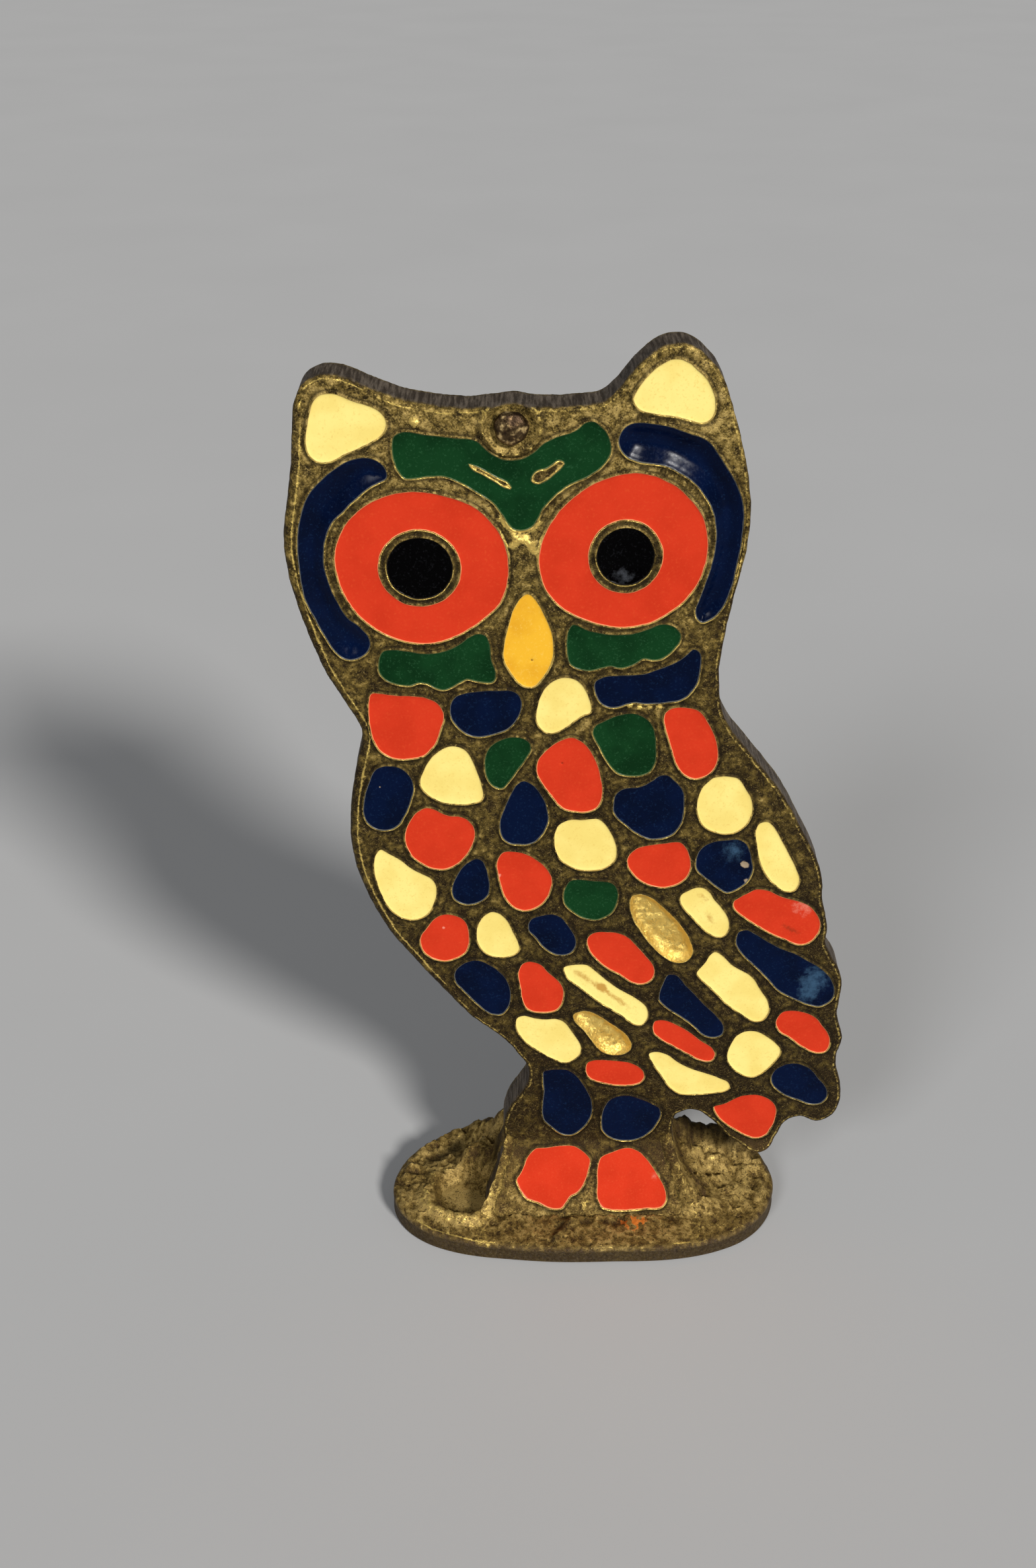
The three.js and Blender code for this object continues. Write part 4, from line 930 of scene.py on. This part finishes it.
def casting():
    """The plate and its base, joined into one closed skin."""
    owl = plate()
    ground = base()
    union = owl.modifiers.new("union", "BOOLEAN")
    union.operation = "UNION"
    union.solver = "MANIFOLD"
    union.object = ground
    bpy.context.view_layer.update()
    shown = owl.evaluated_get(bpy.context.evaluated_depsgraph_get())
    joined = bpy.data.meshes.new_from_object(shown)
    owl.modifiers.clear()
    owl.data = joined
    owl.name = "cast_brass_owl"
    bpy.data.objects.remove(ground)
    joined.shade_smooth()
    joined.set_sharp_from_angle(angle=math.radians(SHARP_ANGLE))
    return owl


# ---- enamel ----
ENAMEL_CLEAR = 0.02  # gap between a fill and its cell's wall
ENAMEL_BED = 0.05  # gap between a fill and its cell's floor
ENAMEL_TOP = 0.02  # how far a fill's edge lies below the brass
ENAMEL_SINK = 0.09  # how much lower its middle lies
DISHED = {"brow_arc_right_blue": 0.85, "brow_arc_left_blue": 0.7, "pupil_right_black": 0.45}
PITS = (
    # (x, z), radius
    ((-6.0, 70.1), 0.14),
    ((-3.0, 58.9), 0.12),
    ((-20.9, 56.2), 0.1),
    ((15.6, 47.1), 0.3),
)
PALE_CHIPS_AND_SHEEN = (
    # (x, z), radius, strength: pale chips, and painted reflection haze such as on the right pupil
    ((14.4, 48.6), 1.7, 0.65),
    ((24.2, 33.0), 2.1, 0.7),
    ((23.3, 30.6), 1.5, 0.6),
    ((22.0, 42.2), 1.7, 0.6),
    ((-9.2, 45.8), 0.22, 1.2),
    ((-15.0, 39.3), 0.18, 1.2),
    ((2.4, 78.6), 1.1, 0.6),
    ((8.1, 6.6), 0.6, 0.6),
)
BROWN_LINES = (
    # (from, to, width, strength)
    ((-1.2, 33.6), (1.6, 31.6), 0.55, 0.85),
    ((1.6, 31.6), (4.4, 28.9), 0.5, 0.82),
    ((15.5, 47.2), (15.8, 47.0), 0.32, 1.3),
    ((15.9, 45.2), (16.1, 44.9), 0.28, 1.3),
    ((11.2, 43.6), (12.0, 42.7), 0.5, 0.75),
    ((12.0, 41.1), (12.9, 40.0), 0.5, 0.8),
    ((20.2, 39.6), (21.8, 38.6), 0.45, 0.85),
    ((-4.2, 67.0), (-3.4, 65.8), 0.08, 1.0),
    ((17.6, 48.4), (18.3, 46.6), 0.08, 1.0),
)


def enamel_height(points, field, dish):
    inset = field.inset(points)
    edge = np.exp(-inset / 0.11)
    bowl = 1 - bell(inset, 0, 1)
    sink = ENAMEL_TOP + ENAMEL_SINK * (1 - edge) + dish * bowl
    ripple = 0.012 * grain(points, 2.6, 2, 71.0) * (1 - edge)
    pits = sum(bump(points, *pit, 0.12) for pit in PITS)
    return FACE_LEVEL + lean(points[:, 1]) - sink + ripple - pits, inset


def rings_round(centre, radius):
    """A few rings of points, so that a small mark has enough mesh to show."""
    turn = np.linspace(0, 2 * math.pi, 9, endpoint=False)
    circle = np.column_stack([np.cos(turn), np.sin(turn)])
    return np.vstack([np.asarray(centre) + share * radius * circle for share in (0.2, 0.7, 1.2, 1.8)])


def enamel(name, cell):
    loops = [moved_out(loop, -ENAMEL_CLEAR) for loop in [cell["edge"], *cell["islands"]]]
    field = EdgeField(loops)
    inner = []
    for step in ENAMEL_STEPS:
        for loop in loops:
            ring = moved_out(loop, -step)
            inner.append(ring[field.inset(ring) > 0.88 * step])
    grid = honeycomb(loops[0], ENAMEL_SPACING, 0.0)
    small = [spot[:2] for spot in PALE_CHIPS_AND_SHEEN if spot[1] < 0.5]
    grid = np.vstack([grid, *[rings_round(*mark) for mark in [*PITS, *small]]])
    inner = np.vstack([*inner, well_inside(grid, loops[0], field, ENAMEL_STEPS[-1] + 0.15)])
    rim = np.vstack(loops)
    face = np.vstack([rim, inner])
    top, inset = enamel_height(face, field, DISHED.get(name, 0.0))
    low = FACE_LEVEL + lean(rim[:, 1]) - CELL_DEPTH + ENAMEL_BED
    made = slab(name + "_fill", loops, (inner, top), (np.zeros((0, 2)), low), [])
    piece = mesh_object(made, face_place, 60)
    store(piece, "inset", inset)
    # pale chips, and painted reflection haze on some cells
    store(piece, "pale_and_sheen", sum(bump(face, *spot) for spot in PALE_CHIPS_AND_SHEEN))
    pit_stain = sum(bump(face, *pit, 1.2) for pit in PITS)
    store(piece, "brown", sum(ridge(face, *line) for line in BROWN_LINES) + pit_stain)
    return piece


# ---- the rivet ----
RIVET_SIDES = 44
RIVET_SUNK = 0.12  # how far the head's underside lies below its seat
# (radius, height over the head's underside), from the crown out and under
HEAD_CROWN = ((0.0, 0.95), (0.35, 0.94), (0.7, 0.88), (1.0, 0.77), (1.25, 0.6))
HEAD_EDGE = ((1.45, 0.36), (1.56, 0.12), (1.5, 0.0), (0.95, 0.0))
HAMMER_MARKS = (
    # (direction in degrees, tilt, height where the flat cuts the axis)
    (75, 0.42, 1.04),
    (150, 0.5, 1.08),
    (215, 0.36, 0.98),
    (285, 0.5, 1.1),
    (350, 0.42, 1.02),
)
# (radius, height over the plate's back), down to the middle of the tail
SHANK = ((0.95, FACE_LEVEL), (0.95, 0.1))
TAIL = ((1.3, 0.0), (1.3, -0.1), (1.2, -0.22), (0.9, -0.31), (0.45, -0.36), (0.0, -0.37))


def hammered(radius, height, angle):
    """A point of the head, cut down by the hammer's flats and slightly out of round."""
    u, v = radius * math.cos(angle), radius * math.sin(angle)
    for direction, tilt, top in HAMMER_MARKS:
        turn = math.radians(direction)
        height = min(height, top - tilt * (u * math.cos(turn) + v * math.sin(turn)))
    wobble = 1 + 0.035 * math.sin(3 * angle + 0.7) + 0.02 * math.sin(7 * angle)
    return u * wobble, v * wobble, FACE_LEVEL + RIVET_SEAT - RIVET_SUNK + height


def rivet():
    """A hammered head with flat hammer marks, a straight shank and a low peened tail."""
    turns = [2 * math.pi * k / RIVET_SIDES for k in range(RIVET_SIDES)]
    vertices = [hammered(*step, angle) for step in HEAD_CROWN + HEAD_EDGE for angle in turns]
    for radius, proud in SHANK + TAIL[:-1]:
        ring = [(radius * math.cos(a), radius * math.sin(a), proud - FACE_LEVEL) for a in turns]
        vertices += ring
    top = len(vertices)
    last = top - RIVET_SIDES
    vertices.append((0, 0, FACE_LEVEL + RIVET_SEAT - RIVET_SUNK + HEAD_CROWN[0][1]))
    vertices.append((0, 0, TAIL[-1][1] - FACE_LEVEL))
    faces = []
    for here in range(0, last, RIVET_SIDES):
        below = here + RIVET_SIDES
        for k in range(RIVET_SIDES):
            ahead = (k + 1) % RIVET_SIDES
            faces.append((here + k, below + k, below + ahead, here + ahead))
    for k in range(RIVET_SIDES):
        ahead = (k + 1) % RIVET_SIDES
        faces.append((top, k, ahead))
        faces.append((top + 1, last + ahead, last + k))
    uvw = np.array(vertices, float)
    uvw[:, :2] += RIVET_CENTRE
    return mesh_object(("hammered_rivet", uvw, faces), face_place, 30)


# ---- material nodes ----
class Nodes:
    """A short way to write a node tree."""

    def __init__(self, name):
        self.material = bpy.data.materials.new(name)
        self.material.use_nodes = True
        self.tree = self.material.node_tree
        self.tree.nodes.clear()
        self.shader = self.make("ShaderNodeBsdfPrincipled")
        self.make("ShaderNodeOutputMaterial", {"Surface": self.shader.outputs["BSDF"]})
        self.place = self.make("ShaderNodeTexCoord").outputs["Object"]

    def make(self, kind, inputs=None, **settings):
        made = self.tree.nodes.new(kind)
        for name, value in settings.items():
            setattr(made, name, value)
        for socket, value in (inputs or {}).items():
            self.give(made.inputs[socket], value)
        return made

    def give(self, socket, value):
        """Links an input to another node's output, or sets it to a number or a colour."""
        if isinstance(value, bpy.types.NodeSocket):
            self.tree.links.new(value, socket)
        elif socket.type == "RGBA":
            socket.default_value = (*value, 1)
        else:
            socket.default_value = value

    def put(self, name, value):
        self.give(self.shader.inputs[name], value)

    def attribute(self, name):
        return self.make("ShaderNodeAttribute", attribute_name=name).outputs["Fac"]

    def noise(self, size, detail=3.0, roughness=0.6, stretch=None, distortion=0.0):
        """Noise from 0 to 1; size is its feature in millimetres."""
        place = self.place
        if stretch:
            inputs = {"Vector": place, "Scale": stretch}
            place = self.make("ShaderNodeMapping", inputs).outputs["Vector"]
        inputs = {"Vector": place, "Scale": 1 / (size * MM), "Detail": detail}
        inputs.update({"Roughness": roughness, "Distortion": distortion})
        return self.make("ShaderNodeTexNoise", inputs).outputs["Fac"]

    def math(self, operation, a, b, clamp=False):
        made = self.make("ShaderNodeMath", {0: a, 1: b}, operation=operation, use_clamp=clamp)
        return made.outputs["Value"]

    def add(self, a, b):
        return self.math("ADD", a, b)

    def times(self, a, b):
        return self.math("MULTIPLY", a, b)

    def centred(self, value, scale):
        """A 0 to 1 value moved to lie around 0 and scaled."""
        return self.times(self.math("SUBTRACT", value, 0.5), scale)

    def remap(self, value, low, high, to_low=0.0, to_high=1.0):
        inputs = {"Value": value, "From Min": low, "From Max": high}
        inputs.update({"To Min": to_low, "To Max": to_high})
        made = self.make("ShaderNodeMapRange", inputs, interpolation_type="SMOOTHSTEP")
        return made.outputs["Result"]

    def ramp(self, value, stops):
        made = self.make("ShaderNodeValToRGB", {"Fac": value})
        elements = made.color_ramp.elements
        while len(elements) < len(stops):
            elements.new(0.5)
        for element, (at, colour) in zip(elements, stops):
            element.position = at
            element.color = (*colour, 1)
        return made.outputs["Color"]

    def mix(self, share, a, b):
        """A mix of two colours, which are this node's sockets 6 and 7, and 2 on its way out."""
        made = self.make("ShaderNodeMix", {"Factor": share, 6: a, 7: b}, data_type="RGBA")
        return made.outputs[2]

    def bump(self, height, depth):
        """Bump whose full range of height stands for depth millimetres."""
        made = self.make("ShaderNodeBump", {"Height": height, "Distance": depth * MM})
        self.put("Normal", made.outputs["Normal"])


# dark brown of dirt, also used as painted shade
DIRT_AND_SHADE = (0.008, 0.005, 0.002)
RED_BROWN = (0.2, 0.105, 0.035)
DARK_BROWN = (0.022, 0.013, 0.004)
OLIVE_BROWN = (0.074, 0.049, 0.0105)
TARNISHED = (0.19, 0.128, 0.03)
SANDY = (0.48, 0.34, 0.11)
BRIGHT_BRASS = (0.9, 0.65, 0.18)
GREY_SKIN = (0.05, 0.036, 0.024)
GREY_STREAK = (0.17, 0.135, 0.1)
ORANGE_TRACE = (0.6, 0.15, 0.015)
PATINA = ((0.36, DARK_BROWN), (0.47, OLIVE_BROWN), (0.57, TARNISHED), (0.68, SANDY))
FLOOR_GREY = (0.42, 0.42, 0.42)
FLOOR_PALE = (0.45, 0.45, 0.45)
# dark brown patina, with rare bright gold spots that are painted glints
RIVET_PATINA_AND_GLINTS = (
    (0.42, (0.03, 0.016, 0.007)),
    (0.54, (0.1, 0.062, 0.026)),
    (0.66, (0.7, 0.5, 0.22)),
)


def brass_material():
    """Patina from dark brown to sandy, then dirt and painted shade, worn gold with painted
    highlights, and the grey of the plate's sides.
    """
    n = Nodes("cast_brass")
    broad = n.noise(4.0, 4, 0.6)
    fine = n.noise(0.5, 5, 0.75, distortion=0.8)
    grit = n.noise(0.17, 3, 0.6)
    curl = n.noise(0.7, 2, 0.5, distortion=2.4)
    strand = n.remap(n.math("ABSOLUTE", n.math("SUBTRACT", curl, 0.5), 0), 0.0, 0.03, 1.0, 0.0)
    relief = n.remap(n.attribute("relief"), -0.9, 0.9)
    # tone holds patches and painted light and shade: paler up the head and back, darker at legs
    tone = n.attribute("tone")
    mixed = n.add(n.times(broad, 0.3), n.times(relief, 0.3))
    mixed = n.add(n.add(mixed, n.times(fine, 0.4)), tone)
    colour = n.ramp(mixed, PATINA)
    speck = n.remap(n.add(n.add(grit, n.times(fine, 0.6)), tone), 0.86, 1.0, 0, 0.6)
    colour = n.mix(speck, colour, SANDY)
    colour = n.mix(n.times(n.attribute("warm"), 0.22), colour, RED_BROWN)
    pits = n.remap(n.add(grit, n.times(fine, 0.5)), 0.7, 0.58, 0, 0.85)
    colour = n.mix(pits, colour, DIRT_AND_SHADE)
    colour = n.mix(n.times(strand, 0.3), colour, SANDY)
    side = n.attribute("side")
    streaks = n.noise(0.3, 3, 0.6, stretch=(1, 0.09, 1))
    colour = n.mix(side, colour, n.mix(n.remap(streaks, 0.38, 0.68), GREY_SKIN, GREY_STREAK))
    # dirt and painted shade in the grooves, and painted shade in the base's recesses
    groove = n.times(n.attribute("groove"), n.remap(fine, 0.35, 0.6, 0.55, 0.95))
    colour = n.mix(groove, colour, DIRT_AND_SHADE)
    uneven = n.centred(fine, 1.3)
    # worn gold, with painted highlights on lower rims and empty cells, and painted light in the
    # hollow
    bright = n.remap(n.add(n.attribute("wear"), uneven), 0.3, 0.7)
    colour = n.mix(bright, colour, BRIGHT_BRASS)
    spill = n.remap(n.add(n.attribute("spill"), uneven), 0.3, 0.6, 0, 0.8)
    n.put("Base Color", n.mix(spill, colour, ORANGE_TRACE))
    n.put("Metallic", n.math("SUBTRACT", n.remap(bright, 0, 1, 0.45, 0.9), spill, clamp=True))
    n.put("Roughness", n.remap(n.add(bright, speck), 0.0, 1.0, 0.58, 0.28))
    n.put("Specular IOR Level", 0.15)
    rough = n.add(n.times(fine, 0.65), n.times(grit, 0.35))
    rough = n.add(rough, n.times(strand, 0.2))
    n.bump(n.add(rough, n.times(n.times(streaks, side), 0.8)), 0.15)
    return n.material


def rivet_material():
    n = Nodes("rivet_brass")
    fine = n.noise(0.35, 4, 0.7)
    broad = n.noise(0.9, 3, 0.6)
    n.put("Base Color", n.ramp(broad, RIVET_PATINA_AND_GLINTS))
    n.put("Metallic", 0.85)
    n.put("Roughness", n.remap(fine, 0.3, 0.7, 0.2, 0.45))
    n.bump(fine, 0.06)
    return n.material


ENAMELS = {
    # roughness, (main colour, clouds, specks), (thin edge, pale bloom and painted sheen, brown stain)
    "red": (
        0.3,
        ((0.545, 0.034, 0.011), (0.49, 0.029, 0.009), (0.6, 0.06, 0.017)),
        ((0.78, 0.32, 0.13), (0.72, 0.26, 0.18), (0.2, 0.025, 0.008)),
    ),
    "cream": (
        0.34,
        ((0.8, 0.665, 0.21), (0.74, 0.58, 0.16), (0.66, 0.45, 0.1)),
        ((0.7, 0.52, 0.17), (0.85, 0.78, 0.5), (0.42, 0.2, 0.03)),
    ),
    "blue": (
        0.2,
        ((0.0006, 0.004, 0.022), (0.0005, 0.0025, 0.013), (0.006, 0.02, 0.06)),
        ((0.12, 0.12, 0.1), (0.035, 0.08, 0.14), (0.34, 0.26, 0.17)),
    ),
    "green": (
        0.22,
        ((0.004, 0.034, 0.009), (0.002, 0.02, 0.005), (0.02, 0.08, 0.03)),
        ((0.1, 0.13, 0.05), (0.2, 0.3, 0.2), (0.002, 0.006, 0.002)),
    ),
    "yellow": (
        0.25,
        ((0.74, 0.4, 0.026), (0.64, 0.31, 0.017), (0.78, 0.5, 0.09)),
        ((0.6, 0.42, 0.1), (0.85, 0.7, 0.35), (0.05, 0.02, 0.005)),
    ),
    "black": (
        0.2,
        ((0.0004, 0.0003, 0.0004), (0.0003, 0.0002, 0.0003), (0.01, 0.01, 0.012)),
        ((0.015, 0.012, 0.008), (0.06, 0.065, 0.075), (0.001, 0.001, 0.001)),
    ),
}


def enamel_material(colour_name):
    """Slightly cloudy and speckled enamel, thin at its edge, with pale chips and painted sheen; black
    is the least shiny.
    """
    roughness, (plain, clouds, specks), (thin, bloom_sheen_colour, stain) = ENAMELS[colour_name]
    n = Nodes("enamel_" + colour_name)
    cloud = n.noise(3.2, 3, 0.5)
    dots = n.noise(0.22, 3, 0.6)
    uneven = n.centred(n.noise(0.7, 4, 0.7), 1.2)
    colour = n.mix(n.remap(cloud, 0.35, 0.7), plain, clouds)
    colour = n.mix(n.remap(dots, 0.54, 0.74, 0.0, 0.55), colour, specks)
    # pale chips and painted reflection haze
    pale_and_sheen = n.remap(n.add(n.attribute("pale_and_sheen"), uneven), 0.3, 0.95, 0.0, 0.85)
    colour = n.mix(pale_and_sheen, colour, bloom_sheen_colour)
    brown = n.remap(n.add(n.attribute("brown"), uneven), 0.45, 1.1, 0.0, 0.85)
    colour = n.mix(brown, colour, stain)
    edge = n.remap(n.add(n.attribute("inset"), n.times(uneven, 0.07)), 0.02, 0.1, 0.9, 0.0)
    n.put("Base Color", n.mix(edge, colour, thin))
    smoothest = roughness - 0.05
    n.put("Roughness", n.remap(dots, 0.3, 0.7, smoothest, smoothest + 0.12))
    n.put("Specular IOR Level", 0.03 if colour_name == "black" else 0.06)
    n.bump(n.noise(0.9, 3, 0.6), 0.006)
    return n.material


def floor_material():
    n = Nodes("pale_floor")
    n.put("Base Color", n.mix(n.noise(60, 3, 0.5), FLOOR_GREY, FLOOR_PALE))
    n.put("Roughness", 0.8)
    return n.material


# ---- put the pieces together ----
def finish_piece(piece, nodes, material):
    piece.data.materials.clear()
    piece.data.materials.append(material)
    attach(piece, "root")
    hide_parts(*nodes)


def build_owl():
    owl = casting()
    finish_piece(owl, ["brass_casting"], brass_material())
    finish_piece(rivet(), ["head_rivet"], rivet_material())
    looks = {colour: enamel_material(colour) for colour in ENAMELS}
    for cell in cells:
        if cell["name"]:
            colour = cell["name"].rsplit("_", 1)[1]
            piece = enamel(cell["name"], cell)
            finish_piece(piece, [cell["name"]], looks[colour])


FLOOR_HALF = 6.0  # in metres
CAMERA_PLACE = (-0.0073, -0.1452, 0.141)  # in metres
CAMERA_TILT = 59.5  # in degrees, up from looking straight down
LENS_LENGTH = 38.82
SENSOR_WIDTH = 36
NEAREST_SEEN = 0.005
WORLD_COLOUR = (0.93, 0.96, 1.0)
WORLD_STRENGTH = 0.15
SOFTBOXES = (
    # (name, direction from the owl, strength, spread in degrees, colour)
    ("key", (1.25, -1.85, 1.4), 3.5, 11, (1.0, 0.98, 0.95)),
    ("fill", (-1.2, -1.9, 1.5), 1.1, 18, (0.97, 0.98, 1.0)),
)


def floor():
    mesh = bpy.data.meshes.new("floor")
    corners = [(x * FLOOR_HALF, y * FLOOR_HALF, 0) for x, y in ((-1, -1), (1, -1), (1, 1), (-1, 1))]
    mesh.from_pydata(corners, [], [(0, 1, 2, 3)])
    mesh.materials.append(floor_material())
    placed("floor", mesh)


def far_softbox(name, toward, strength, spread, colour):
    """Even light from a soft lamp far away; toward points from the owl to the lamp."""
    light = bpy.data.lights.new(name, "SUN")
    light.energy = strength
    light.angle = math.radians(spread)
    light.color = colour
    placed(name, light).rotation_euler = Vector(toward).to_track_quat("Z", "Y").to_euler()


def studio():
    world = bpy.data.worlds.new("studio")
    world.use_nodes = True
    background = world.node_tree.nodes["Background"]
    background.inputs["Color"].default_value = (*WORLD_COLOUR, 1)
    background.inputs["Strength"].default_value = WORLD_STRENGTH
    bpy.context.scene.world = world
    for softbox in SOFTBOXES:
        far_softbox(*softbox)


def camera():
    data = bpy.data.cameras.new("camera")
    data.lens = LENS_LENGTH
    data.sensor_width = SENSOR_WIDTH
    data.clip_start = NEAREST_SEEN
    view = placed("camera", data)
    view.location = CAMERA_PLACE
    view.rotation_euler = (math.radians(CAMERA_TILT), 0, 0)
    bpy.context.scene.camera = view


bpy.context.scene.view_settings.view_transform = "Standard"
build_owl()
floor()
studio()
camera()
